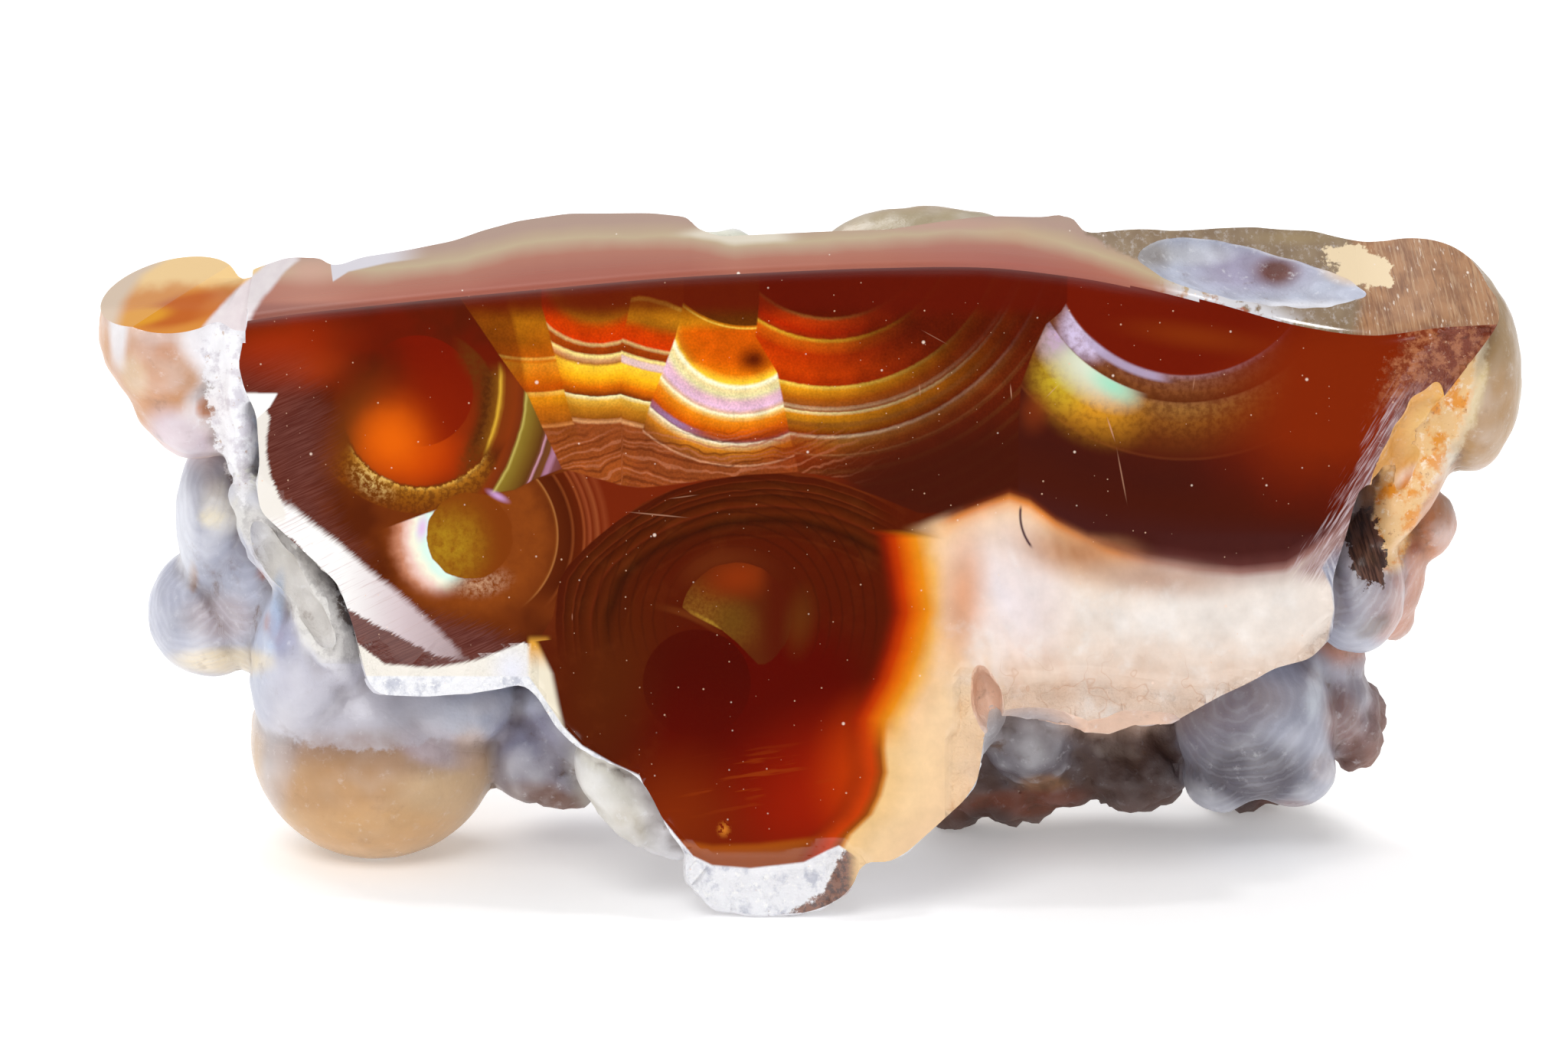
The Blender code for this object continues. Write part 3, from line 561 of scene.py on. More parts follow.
# patches of other colours: place and sizes on the sheet, turn, colour, and how much of it shows
PATCHES = [
    # the amber lobe and the white crust beside it
    (195, 480, 60, 70, -12, (194, 138, 98), 0.9), (210, 450, 34, 26, 10, (190, 120, 66), 0.7),
    (170, 490, 22, 34, -20, (206, 182, 150), 0.7), (150, 430, 16, 60, 0, (222, 224, 230), 0.8),
    (262, 440, 34, 50, 0, (238, 234, 238), 0.9), (290, 470, 40, 70, 0, (240, 240, 244), 0.9),
    (230, 570, 60, 40, 30, (206, 190, 200), 0.9), (264, 532, 34, 34, 0, (232, 224, 226), 0.9),
    (264, 532, 15, 17, 0, (202, 122, 66), 0.9), (320, 560, 26, 90, 0, (212, 218, 232), 0.9),
    # the grey-blue lobes behind it
    (262, 720, 90, 150, 10, (166, 168, 184), 0.8), (280, 660, 40, 44, 0, (222, 216, 202), 0.7),
    (292, 634, 14, 26, 0, (160, 160, 176), 0.7), (318, 622, 24, 24, 0, (240, 236, 220), 0.8),
    (262, 676, 20, 14, 0, (236, 224, 190), 0.8), (310, 668, 14, 14, 0, (150, 150, 166), 0.6),
    (234, 756, 8, 24, 0, (150, 104, 66), 0.9), (330, 752, 8, 9, 0, (160, 70, 40), 0.9),
    (348, 822, 14, 24, -20, (186, 120, 92), 0.8), (280, 868, 90, 22, 0, (234, 218, 186), 0.9),
    (270, 810, 60, 40, 0, (168, 152, 154), 0.7), (225, 700, 20, 90, 0, (224, 226, 234), 0.6),
    # the break under the ground strip, and the neck of the bulb
    (400, 740, 40, 30, 35, (206, 200, 192), 0.9), (400, 800, 46, 80, -25, (214, 210, 206), 0.8),
    (432, 775, 9, 52, -18, (104, 82, 74), 0.95), (462, 842, 9, 36, -22, (112, 92, 84), 0.9),
    (368, 850, 22, 80, -8, (150, 150, 178), 0.8), (400, 890, 40, 60, -30, (168, 166, 174), 0.8),
    (352, 800, 12, 60, 10, (170, 190, 220), 0.7),
    # the bulb: tan, lighter and warmer towards its foot, where painted light from the white table shines up
    # through it
    (440, 920, 150, 80, 0, (178, 176, 188), 0.9), (352, 1000, 30, 90, 10, (196, 192, 196), 0.8),
    (470, 990, 150, 40, 0, (138, 98, 66), 0.8), (430, 1040, 110, 50, 0, (172, 128, 82), 0.8),
    (480, 1090, 130, 40, 0, (200, 156, 106), 0.8), (560, 980, 60, 30, 20, (190, 178, 190), 0.7),
    (610, 985, 30, 40, 0, (206, 170, 140), 0.5),
    # between the bulb and the leaf, and the leaf
    (680, 960, 60, 46, 0, (150, 148, 172), 0.8), (660, 925, 60, 22, 0, (204, 206, 220), 0.8),
    (700, 1050, 60, 26, 10, (116, 76, 54), 0.8), (740, 1010, 26, 40, 0, (104, 100, 124), 0.8),
    (790, 1040, 50, 90, -33, (206, 202, 192), 0.8), (820, 1080, 20, 40, -30, (176, 164, 140), 0.6),
    # the white tip
    (960, 1170, 140, 50, 0, (226, 226, 230), 0.95), (1100, 1165, 24, 40, 25, (136, 74, 46), 0.9),
    (1010, 1196, 40, 8, 0, (120, 84, 60), 0.7),
    # the broken foot of the milky part, and the notch beside it
    (1440, 915, 260, 60, 0, (224, 190, 168), 0.95), (1240, 890, 44, 90, 0, (226, 176, 140), 0.9),
    (1236, 880, 12, 60, 8, (246, 226, 206), 0.7),
    # dark matrix at the lower right
    (1345, 962, 70, 46, 0, (160, 154, 158), 0.9), (1440, 1020, 190, 60, 0, (50, 32, 30), 0.6),
    (1340, 1060, 110, 24, -6, (116, 56, 30), 0.9), (1372, 1032, 40, 14, 0, (150, 104, 62), 0.7),
    (1470, 990, 40, 12, 10, (150, 132, 122), 0.6), (1300, 1080, 40, 20, 0, (66, 40, 30), 0.8),
    # blue botryoids
    (1600, 940, 80, 70, 0, (128, 120, 132), 0.8), (1650, 1020, 90, 60, 0, (62, 50, 58), 0.85),
    (1730, 905, 14, 44, 8, (222, 228, 238), 0.9), (1560, 900, 40, 22, 0, (206, 210, 224), 0.7),
    (1700, 1064, 40, 14, 0, (120, 74, 62), 0.7), (1772, 950, 34, 60, -10, (134, 92, 80), 0.8),
    (1745, 1010, 24, 24, 0, (206, 196, 200), 0.6), (1790, 1000, 20, 30, 0, (96, 54, 40), 0.7),
    # the right side
    (1880, 690, 40, 50, 0, (200, 134, 92), 0.8), (1820, 800, 36, 50, 0, (186, 130, 108), 0.8),
    (1862, 716, 16, 12, 0, (150, 76, 40), 0.8), (1838, 760, 14, 18, 0, (170, 96, 64), 0.7),
    (1860, 620, 40, 20, -20, (236, 226, 222), 0.8), (1785, 780, 50, 60, 20, (116, 106, 116), 0.8),
    (1800, 820, 30, 14, -30, (90, 66, 54), 0.8), (1770, 700, 24, 60, 0, (196, 190, 200), 0.8),
    (1795, 700, 20, 70, 12, (78, 54, 46), 0.95), (1840, 690, 22, 70, 16, (190, 138, 76), 0.9),
    (1838, 650, 12, 40, 12, (214, 130, 20), 0.9), (1870, 560, 34, 60, 25, (220, 178, 110), 0.9),
    (1905, 500, 22, 60, 22, (222, 160, 40), 0.85), (1930, 520, 10, 50, 16, (214, 190, 110), 0.7),
    (1885, 455, 50, 34, -20, (150, 92, 62), 0.8), (1960, 560, 40, 100, 8, (166, 122, 64), 0.8),
    (1996, 540, 8, 130, 4, (206, 192, 170), 0.6), (1890, 600, 24, 10, -20, (240, 234, 228), 0.8),
    (1930, 640, 60, 24, -40, (176, 130, 96), 0.7),
    # the back of the top
    (1230, 285, 190, 26, 0, (160, 146, 118), 0.9), (960, 306, 90, 18, 6, (206, 206, 186), 0.9),
    (760, 285, 110, 12, -6, (222, 222, 214), 0.9), (500, 340, 130, 14, -3, (230, 230, 236), 0.9),
    (1600, 300, 220, 16, 0, (140, 122, 96), 0.9),
]


def patch(u, v, wide, high, turn=0.0):
    """1 inside an ellipse on the sheet, fading to 0 a little past its edge."""
    c, s = math.cos(math.radians(turn)), math.sin(math.radians(turn))
    du, dv = across - u, down - v
    r = np.hypot((du * c + dv * s) / wide, (dv * c - du * s) / high)
    return np.clip((1.15 - r) / 0.7, 0.0, 1.0)


for *place, colour, strength in PATCHES:
    amount = patch(*place)
    tone = washed(tone, colour, amount * amount * (3 - 2 * amount) * strength * facing)

# parts of the front that the polish missed: they stay rough, and stand back a little from it
UNDER_LOBE = [
    (690, 884), (705, 905), (735, 950), (760, 975), (800, 998), (835, 1014), (850, 1052), (880, 1090),
    (905, 1120), (930, 1132), (980, 1136), (1050, 1128), (1082, 1112), (1096, 1106), (1130, 1128),
    (1160, 1140),
]
UNDER_CREAM = [(440, 812), (466, 842), (500, 868), (560, 873), (620, 863), (650, 852), (683, 840),
               (700, 850)]
UNDER_MILK = [
    (1236, 1100), (1244, 960), (1250, 874), (1290, 892), (1400, 884), (1480, 890), (1560, 896), (1640, 880),
    (1700, 862), (1742, 800), (1760, 760),
]
RIGHT_MARGIN = [
    (400, 1930), (440, 1868), (500, 1836), (560, 1806), (640, 1778), (700, 1752), (742, 1720), (800, 1741),
    (860, 1690),
]
TIP_TOP = 1118.0
TIP_HEIGHT = 95.0
TIP_PUSH = 1.0
TIP_REACH = 2.6


def below(line, width):
    """0 above a line over the front, 1 from that far below it on."""
    us, vs = [u for u, v in line], [v for u, v in line]
    inside = (across > us[0]) & (across < us[-1])
    return np.clip((down - np.interp(across, us, vs)) / width, 0.0, 1.0) * inside


tip = below(UNDER_LOBE, 14.0)
foot = below(UNDER_MILK, 16.0)
margin_line = np.interp(down, [v for v, u in RIGHT_MARGIN], [u for v, u in RIGHT_MARGIN])
margin = np.clip((across - margin_line) / 16.0, 0.0, 1.0) * ((down > 400) & (down < 870))
front = on_finish("polished_front")
inner = on_finish(*(name for name in finishes if name != "polished_front"))
missed = np.maximum(np.maximum(tip, foot), margin) * front
give = blurred(pairs, front * (1.0 - inner), 2) * missed * (1.0 - inner)
for i in np.nonzero(give > 0.01)[0]:
    at = Vector(skin[i])
    cells = noise.voronoi(at * 0.75 + noise.noise_vector(at * 0.7) * 0.4)[0]
    skin[i, 1] += give[i] * (0.10 + 0.42 * cells[0] + 0.16 * noise.noise(at * 1.9))
tip_depth = np.clip((down - TIP_TOP) / TIP_HEIGHT, 0.0, 1.0) ** 2 * (across > 880) * (across < 1140)
lies_behind = skin[:, 1] - ((skin[:, 2] - FACE_MIDDLE[1]) * FACE_LEAN)
skin[:, 1] += tip_depth * TIP_PUSH * np.clip(1.0 - lies_behind / TIP_REACH, 0.0, 1.0)
unpolished = np.maximum(missed, below(UNDER_CREAM, 8.0) * front)
mesh.vertices.foreach_set("co", skin.astype(np.float32).ravel())

# growth lines: how far each point lies from the crown of its own bubble
phase = np.zeros(len(skin))
nearest = np.full(len(skin), 1e9)
crown = np.array((-0.25, -0.75, 0.6)) / np.linalg.norm((-0.25, -0.75, 0.6))
for centre, radii, turn, colouring in LUMPS.values():
    local = (skin - np.array(centre)) / np.array(radii)
    length = np.sqrt((local ** 2).sum(axis=1))
    away = np.abs(length - 1.0) * min(radii)
    closer = away < nearest
    nearest = np.where(closer, away, nearest)
    angle = np.arccos(np.clip((local @ crown) / np.maximum(length, 1e-6), -1.0, 1.0))
    phase = np.where(closer, angle * sum(radii) / 3, phase)

# the hollow in the top: white round its edge, brown in its middle
DISH_PATCHES = [
    (1640, 350, 90, 36, (150, 140, 166), 0.8), (1672, 352, 34, 22, (104, 58, 52), 1.0),
    (1560, 330, 60, 16, (206, 208, 216), 0.7), (1776, 345, 46, 26, (226, 190, 140), 0.9),
    (1770, 318, 70, 12, (120, 96, 54), 0.9), (1700, 404, 150, 14, (226, 226, 232), 0.9),
    (1500, 330, 40, 26, (150, 140, 130), 0.7),
]
tone = washed(tone, (176, 180, 196), dish)
for *place, colour, strength in DISH_PATCHES:
    tone = washed(tone, colour, patch(*place) * strength * dish)
# painted shade: brown laid into the hollows, darkest where they are deepest, less in the breaks
tone = washed(tone, (86, 60, 46), np.clip(hollow, 0.0, 1.0) ** 0.8 * (0.62 - 0.4 * broken))
# painted highlight: the crests lightened towards white, much less on the dark matrix knobs
tone = washed(tone, (240, 240, 244), np.clip(-hollow - 0.25, 0.0, 1.0) * (0.5 - 0.45 * knobs))
lined = share_of("blue") + share_of("pink") * 0.6 + share_of("neck") * 0.3
lined *= np.clip(1.0 - nearest / 0.6, 0.0, 1.0)
coarse = np.maximum(relief / ROUGHEST, broken * 0.5)
hollow = np.clip(hollow, 0.0, 1.0)
for name, channels in (("tone", [tone, facing]), ("nature", [coarse, lined, hollow, unpolished])):
    layer = mesh.color_attributes.new(name, "FLOAT_COLOR", "POINT")
    layer.data.foreach_set("color", np.column_stack(channels).astype(np.float32).ravel())
layer = mesh.attributes.new("growth", "FLOAT", "POINT")
layer.data.foreach_set("value", phase.astype(np.float32))

# into the frame, with smooth shading that breaks at the rims of the cuts and all round the polish
RIM_ANGLE = math.radians(42.0)
mesh.transform(Matrix.Scale(MM, 4) @ Matrix.Translation(INTO_FRAME))
mesh.name = "fire_agate_stone"
mesh.shade_smooth()
mesh.set_sharp_from_angle(angle=RIM_ANGLE)
bm = bmesh.new()
bm.from_mesh(mesh)
polished = (finishes.index("polished_front"), finishes.index("polished_top"))
for edge in bm.edges:
    here = [face.material_index in polished for face in edge.link_faces]
    if any(here) and not all(here):
        edge.smooth = False
bm.to_mesh(mesh)
bm.free()
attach(stone, "root")
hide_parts("fire_agate")


def surface(material):
    """The material's tree and its shader, with nothing else in it."""
    material.use_nodes = True
    tree = material.node_tree
    tree.nodes.clear()
    output = tree.nodes.new("ShaderNodeOutputMaterial")
    shader = tree.nodes.new("ShaderNodeBsdfPrincipled")
    tree.links.new(shader.outputs["BSDF"], output.inputs["Surface"])
    return tree, shader


# The polished front. Fire agate is clear brown chalcedony over thin layers of iron oxide, which throw back
# gold, red, green and lilac light. The layers grew as bubbles, so the polish cuts them into rings, with a
# sharp seam where two bubbles met. It is drawn on the sheet: u counts steps to the right, and v down.

CORNER = (1060.2, 1129.2, 0.0)
SHEET_WIDTH = 2048.0
NO_DEPTH = 1e9


def plug(slot, value):
    if isinstance(value, Signal):
        slot.id_data.links.new(value.socket, slot)
    else:
        slot.default_value = value


class Signal:
    """A value on its way through a material. Sums, products and the like each add one node."""

    def __init__(self, socket):
        self.socket = socket

    def through(self, operation, *others):
        node = self.socket.id_data.nodes.new("ShaderNodeMath")
        node.operation = operation
        for slot, value in zip(node.inputs, (self, *others)):
            plug(slot, value)
        return Signal(node.outputs[0])

    def __add__(self, other):
        return self.through("ADD", other)

    def __sub__(self, other):
        return self.through("SUBTRACT", other)

    def __mul__(self, other):
        return self.through("MULTIPLY", other)

    def __pow__(self, other):
        return self.through("POWER", other)

    def __invert__(self):
        """What a mask leaves out."""
        return self.scaled(-1.0, 1.0)

    def scaled(self, factor, shift):
        return self.through("MULTIPLY_ADD", factor, shift)

    def least(self, other):
        return self.through("MINIMUM", other)

    def most(self, other):
        return self.through("MAXIMUM", other)

    def rise(self, low, high):
        """0 up to low and 1 from high on, or the other way round where low is the higher."""
        node = self.socket.id_data.nodes.new("ShaderNodeMapRange")
        node.interpolation_type = "SMOOTHSTEP"
        node.clamp = False
        flip = low > high
        ends = (high, low, 1.0, 0.0) if flip else (low, high, 0.0, 1.0)
        for slot, value in zip(node.inputs, (self, *ends)):
            plug(slot, value)
        return Signal(node.outputs[0])

    def band(self, low, high, soft):
        """1 between low and high."""
        return self.rise(low - soft, low + soft) * self.rise(high + soft, high - soft)

    def curve(self, points):
        """A line of straight pieces through the points, flat beyond its ends."""
        start, end = points[0][0], points[-1][0]
        values = [y for x, y in points]
        low, high = min(values), max(values) + 0.001
        way = self.scaled(1.0 / (end - start), -start / (end - start))
        node = self.socket.id_data.nodes.new("ShaderNodeFloatCurve")
        line = node.mapping.curves[0]
        line.points[0].location = (0.0, (values[0] - low) / (high - low))
        line.points[1].location = (1.0, (values[-1] - low) / (high - low))
        for x, y in points[1:-1]:
            line.points.new((x - start) / (end - start), (y - low) / (high - low))
        for point in line.points:
            point.handle_type = "VECTOR"
        node.mapping.extend = "HORIZONTAL"
        node.mapping.update()
        plug(node.inputs["Value"], way)
        return Signal(node.outputs[0]).scaled(high - low, low)

    def bands(self, stops):
        """The colour of each layer, given as a place and a colour, one after another."""
        tree = self.socket.id_data
        low, high = stops[0][0], stops[-1][0]
        way = self.scaled(1.0 / (high - low), -low / (high - low))
        node = tree.nodes.new("ShaderNodeValToRGB")
        ramp = node.color_ramp.elements
        ramp[0].color = tint(*stops[0][1])
        ramp[1].color = tint(*stops[-1][1])
        for place, colour in stops[1:-1]:
            ramp.new((place - low) / (high - low)).color = tint(*colour)
        plug(node.inputs["Fac"], way)
        return Signal(node.outputs["Color"])


def laid(under, over, amount):
    """One colour laid over another by an amount from 0 to 1."""
    node = amount.socket.id_data.nodes.new("ShaderNodeMix")
    node.data_type = "RGBA"
    plug(node.inputs[0], amount)
    plug(node.inputs[6], under if isinstance(under, Signal) else tint(*under))
    plug(node.inputs[7], over if isinstance(over, Signal) else tint(*over))
    return Signal(node.outputs[2])


def dimmed(colour, amount):
    """A colour times an amount: black laid over it, or where the amount is above 1, taken off it."""
    result = laid(colour, (0, 0, 0), ~amount)
    result.socket.node.clamp_factor = False
    return result


class Drawing:
    """The sheet that the front is drawn on, with its corner at the upper left of the view."""

    def __init__(self, tree):
        self.tree = tree
        place = tree.nodes.new("ShaderNodeTexCoord")
        turn = tree.nodes.new("ShaderNodeMapping")
        turn.vector_type = "POINT"
        turn.inputs["Location"].default_value = CORNER
        turn.inputs["Rotation"].default_value = (math.radians(90.0) + VIEW_DROP, 0.0, 0.0)
        turn.inputs["Scale"].default_value = (1.0 / (STEP_MM * MM),) * 3
        tree.links.new(place.outputs["Object"], turn.inputs["Vector"])
        self.plane = turn.outputs["Vector"]
        self.u = self.ruler(0.0)
        self.v = self.ruler(90.0)

    def stretched(self, angle, length, width, middle=(0.0, 0.0)):
        """The sheet turned by an angle about a middle, measured in lengths along it and widths across."""
        node = self.tree.nodes.new("ShaderNodeMapping")
        node.vector_type = "TEXTURE"
        node.inputs["Rotation"].default_value = (0.0, 0.0, math.radians(angle))
        node.inputs["Location"].default_value = (*middle, 0.0)
        node.inputs["Scale"].default_value = (length, width, NO_DEPTH)
        self.tree.links.new(self.plane, node.inputs["Vector"])
        return node.outputs["Vector"]

    def ruler(self, angle):
        """How far along the sheet a point lies."""
        turned = self.stretched(angle, SHEET_WIDTH, SHEET_WIDTH)
        node = self.tree.nodes.new("ShaderNodeTexGradient")
        self.tree.links.new(turned, node.inputs["Vector"])
        return Signal(node.outputs["Fac"]) * SHEET_WIDTH

    def mottle(self, size, detail=2.0, rough=0.5, plane=None):
        """Cloudy unevenness about 0.5, with spots of about that size."""
        node = self.tree.nodes.new("ShaderNodeTexNoise")
        node.noise_dimensions = "2D"
        self.tree.links.new(plane or self.plane, node.inputs["Vector"])
        plug(node.inputs["Scale"], 1.0 / size)
        plug(node.inputs["Detail"], detail)
        plug(node.inputs["Roughness"], rough)
        return Signal(node.outputs["Fac"])

    def waver(self, size, reach, detail=2.0, rough=0.5):
        """Unevenness of up to half of that reach to either side."""
        return self.mottle(size, detail, rough).scaled(reach, -0.5 * reach)

    def streaks(self, angle, length, width, detail=2.0):
        """Mottle drawn out along an angle."""
        return self.mottle(1.0, detail, 0.6, self.stretched(angle, length, width))

    def cone(self, u, v, u_size, v_size, turn):
        """1 at (u, v), falling evenly to 0 at the ellipse of those sizes."""
        turned = self.stretched(turn, u_size, v_size, (u, v))
        node = self.tree.nodes.new("ShaderNodeTexGradient")
        node.gradient_type = "SPHERICAL"
        self.tree.links.new(turned, node.inputs["Vector"])
        return Signal(node.outputs["Fac"])

    def distance(self, u, v, u_scale=1.0, v_scale=1.0, turn=0.0):
        """How far a point is from (u, v), with the sheet stretched so that an ellipse is a circle."""
        reach = SHEET_WIDTH / max(u_scale, v_scale)
        return self.cone(u, v, u_scale * reach, v_scale * reach, turn).scaled(-reach, reach)

    def glow(self, u, v, u_size, v_size, turn=0.0):
        """1 at (u, v), fading to 0 at the ellipse of those sizes."""
        return self.cone(u, v, u_size, v_size, turn).rise(0.0, 1.0)

    def lit(self, colour, glows):
        """A colour with glows laid over it: each has its colour, its place, and how much of it shows."""
        for over, place, amount in glows:
            glow = self.glow(*place)
            colour = laid(colour, over, glow if amount == 1.0 else glow * amount)
        return colour

    def under(self, points, soft, fray=0.0):
        """1 below a line drawn from left to right, whose edge may be frayed."""
        gap = self.v - self.u.curve(points) + fray
        return gap.rise(-soft, soft)

    def right_of(self, points, soft, fray=0.0):
        """1 to the right of a line drawn from top to bottom, given as (u, v)."""
        gap = self.u - self.v.curve([(v, u) for u, v in points]) + fray
        return gap.rise(-soft, soft)

    def specks(self, spacing, size, share):
        """Small round specks, strewn about: one for that share of places that lie spacing apart."""
        node = self.tree.nodes.new("ShaderNodeTexVoronoi")
        node.voronoi_dimensions = "2D"
        self.tree.links.new(self.plane, node.inputs["Vector"])
        plug(node.inputs["Scale"], 1.0 / spacing)
        chance = self.tree.nodes.new("ShaderNodeSeparateColor")
        self.tree.links.new(node.outputs["Color"], chance.inputs[0])
        here = Signal(chance.outputs["Red"]).rise(share, share * 0.98)
        reach = Signal(chance.outputs["Green"]) ** 3.0 * (size / spacing) + 0.4 * size / spacing
        return (Signal(node.outputs["Distance"]) - reach).rise(0.02, -0.02) * here

    def stroke(self, start, end, width):
        """A straight scratch."""
        middle = ((start[0] + end[0]) / 2, (start[1] + end[1]) / 2)
        slant = math.degrees(math.atan2(end[1] - start[1], end[0] - start[0]))
        return self.cone(*middle, math.dist(start, end) / 2, width, slant).rise(0.0, 0.7)


def fire_layers(d):
    """The fire in the upper middle: hanging layers in columns, brightest in the middle of the face."""
    wave = d.waver(60, 7.0)
    fine = d.waver(9, 1.6, 1.0)
    hanging = [
        (-150, (96, 40, 4)), (-112, (128, 66, 8)), (-100, (150, 84, 10)), (-88, (190, 58, 0)),
        (-71, (206, 52, 0)), (-68, (214, 176, 110)), (-64, (158, 62, 8)), (-56, (140, 48, 6)),
        (-53, (252, 230, 140)), (-48, (206, 150, 100)), (-43, (170, 105, 45)), (-39, (250, 200, 50)),
        (-26, (250, 178, 20)), (-13, (214, 104, 4)), (-4, (140, 55, 6)), (-1.5, (110, 55, 20)),
        (0, (244, 230, 170)), (5, (218, 165, 55)), (15, (192, 122, 25)), (28, (142, 76, 16)),
        (33, (206, 146, 96)), (36, (140, 68, 28)), (60, (140, 66, 26)), (90, (150, 72, 26)),
    ]
    column_a = d.distance(695, 271) - 242.8
    fire = column_a.bands([
        (-150, (92, 36, 3)), (-120, (124, 62, 6)), (-92, (168, 98, 10)), (-66, (150, 84, 8)),
        (-47, (172, 84, 6)), (-44.5, (238, 190, 80)), (-41, (206, 116, 12)), (-37, (232, 160, 36)),
        (-20, (220, 124, 6)), (-8, (192, 74, 0)), (-2, (164, 62, 0)), (0, (248, 208, 90)),
        (6, (228, 156, 18)), (20, (186, 106, 12)), (40, (152, 78, 16)), (44.6, (200, 126, 66)),
        (47, (138, 66, 22)), (100, (146, 70, 26)),
    ])
    seam = [(664, 400), (672, 420), (676, 440), (684, 480), (690, 520)]
    fire = laid((104, 38, 4), fire, d.right_of(seam, 5.0) * 0.7 + 0.3)
    column_b = d.distance(781.4, 352.2) - 166.8 + fine
    seam = [(708, 400), (716, 428), (722, 452), (732, 490), (745, 540), (760, 580)]
    fire = laid(fire, column_b.bands(hanging), d.right_of(seam, 1.5))
    column_c = d.distance(905.5, 227.2) - 304.3 + fine
    third = laid(column_c.bands(hanging), (226, 192, 190), column_c.band(-50, -41, 2.0) * 0.9)
    crown = d.v - d.u.curve([(815, 394), (835, 390), (870, 396), (900, 408)]) + wave
    third = laid(third, (196, 124, 16), crown.rise(38, 14) * 0.85)
    third = laid(third, (236, 178, 60), crown.band(-1, 4, 2.0) * 0.8)
    third = laid(third, (116, 56, 8), crown.rise(0, -4))
    fire = laid(fire, third, d.right_of([(826, 385), (820, 415), (812, 449), (812, 560), (812, 650)], 1.5))
    column_d = d.distance(965.5, 415.3) - 164.9 + fine
    fourth = column_d.bands([
        (-165, (176, 76, 4)), (-110, (214, 84, 0)), (-90, (232, 120, 4)), (-78, (250, 204, 50)),
        (-74, (252, 250, 215)), (-69, (238, 214, 150)), (-62, (228, 216, 160)), (-54, (222, 176, 190)),
        (-45, (226, 182, 208)), (-40, (214, 168, 140)), (-37, (250, 242, 200)), (-33, (238, 190, 100)),
        (-28, (232, 134, 18)), (-15, (212, 92, 2)), (-6, (164, 62, 20)), (-2, (124, 72, 70)),
        (0, (244, 228, 196)), (4, (222, 184, 122)), (10, (206, 124, 28)), (18, (164, 90, 24)),
        (27, (134, 68, 28)), (28.6, (206, 148, 110)), (31, (138, 66, 28)), (90, (140, 64, 24)),
    ])
    fourth = laid(fourth, (150, 112, 150), column_d.band(-9, -2, 2.0) * d.glow(880, 545, 60, 40, 35.0))
    fourth = laid(fourth, (206, 86, 2), (d.v + wave).band(428, 480, 14.0) * column_d.rise(-74, -84) * 0.8)
    fourth = laid(fourth, (190, 122, 14), d.v.rise(436, 420) * column_d.rise(-74, -84) * 0.85)
    fourth = laid(fourth, (92, 26, 2), d.glow(985, 470, 32, 26) * column_d.rise(-74, -82))
    crown = d.distance(975, 300) - 130
    fourth = laid(fourth, (226, 176, 60), crown.band(-1.5, 1.0, 1.0) * 0.9)
    fourth = laid(fourth, (92, 44, 5), crown.rise(-2, -5))
    seam = [(893, 395), (883, 440), (875, 462), (850, 527), (836, 575), (815, 650)]
    fire = laid(fire, fourth, d.right_of(seam, 1.5))
    column_e = d.distance(1083, 275.7) - 295.3 + fine
    fifth = column_e.bands([
        (-170, (70, 10, 0)), (-157, (82, 16, 0)), (-154, (150, 90, 36)), (-150, (188, 56, 4)),
        (-135, (176, 36, 0)), (-128, (150, 40, 4)), (-125.5, (212, 156, 36)), (-121, (200, 90, 8)),
        (-105, (186, 50, 0)), (-82, (204, 62, 0)), (-67, (172, 44, 0)), (-64.5, (248, 208, 80)),
        (-60, (230, 152, 20)), (-48, (182, 96, 12)), (-40, (158, 84, 30)), (-36, (224, 184, 140)),
        (-33, (166, 96, 50)), (-31, (248, 230, 160)), (-27, (226, 146, 22)), (-15, (172, 112, 18)),
        (-3, (116, 54, 6)), (0, (230, 204, 164)), (4, (186, 126, 48)), (14, (144, 80, 22)),
        (22, (140, 72, 26)), (24, (190, 130, 80)), (26, (122, 52, 20)), (36, (110, 44, 14)),
        (90, (96, 34, 12)),
    ])
    fading = d.u.curve([(1030, 0.95), (1080, 0.72), (1130, 0.44), (1190, 0.26), (1260, 0.15), (1400, 0.12)])
    fifth = laid((92, 24, 5), fifth, fading)
    fifth = laid(fifth, (110, 62, 26), (column_e * 0.31).through("SINE").rise(0.2, 1.0)
                 * column_e.rise(-60, -20) * 0.45)
    seam = [(992, 395), (987, 440), (1015, 487), (1031, 566), (1046, 630)]
    fire = laid(fire, fifth, d.right_of(seam, 1.5))
    right = d.u.rise(811, 814)
    hung = d.distance(690, 290) * ~right + d.distance(945, 240) * right + d.waver(70, 34.0, 3.0)
    threads = (hung * 0.9).through("SINE") * 0.5 + (hung * 0.37).through("SINE") * 0.6
    low = d.v.rise(552, 578) * d.u.rise(1180, 1040)
    fire = laid(fire, (178, 106, 72), low * threads.rise(0.1, 1.0) * 0.6)
    fire = laid(fire, (96, 38, 14), low * threads.rise(-0.2, -1.0) * 0.6)
    grain = d.mottle(3.0, 1.0)
    fire = laid(fire, (140, 42, 4), d.v.rise(520, 590) * d.glow(1030, 570, 90, 70) * 0.7)
    fire = laid(fire, (80, 18, 4), d.v.rise(510, 430) * d.u.rise(1060, 1200) * 0.85)
    fire = laid(fire, (196, 88, 6), d.glow(706, 492, 56, 84) * 0.6)
    depth = d.mottle(26, 4.0, 0.6)
    return dimmed(fire, (grain * 0.5 + 0.76) * (depth * 0.7 + 0.62))


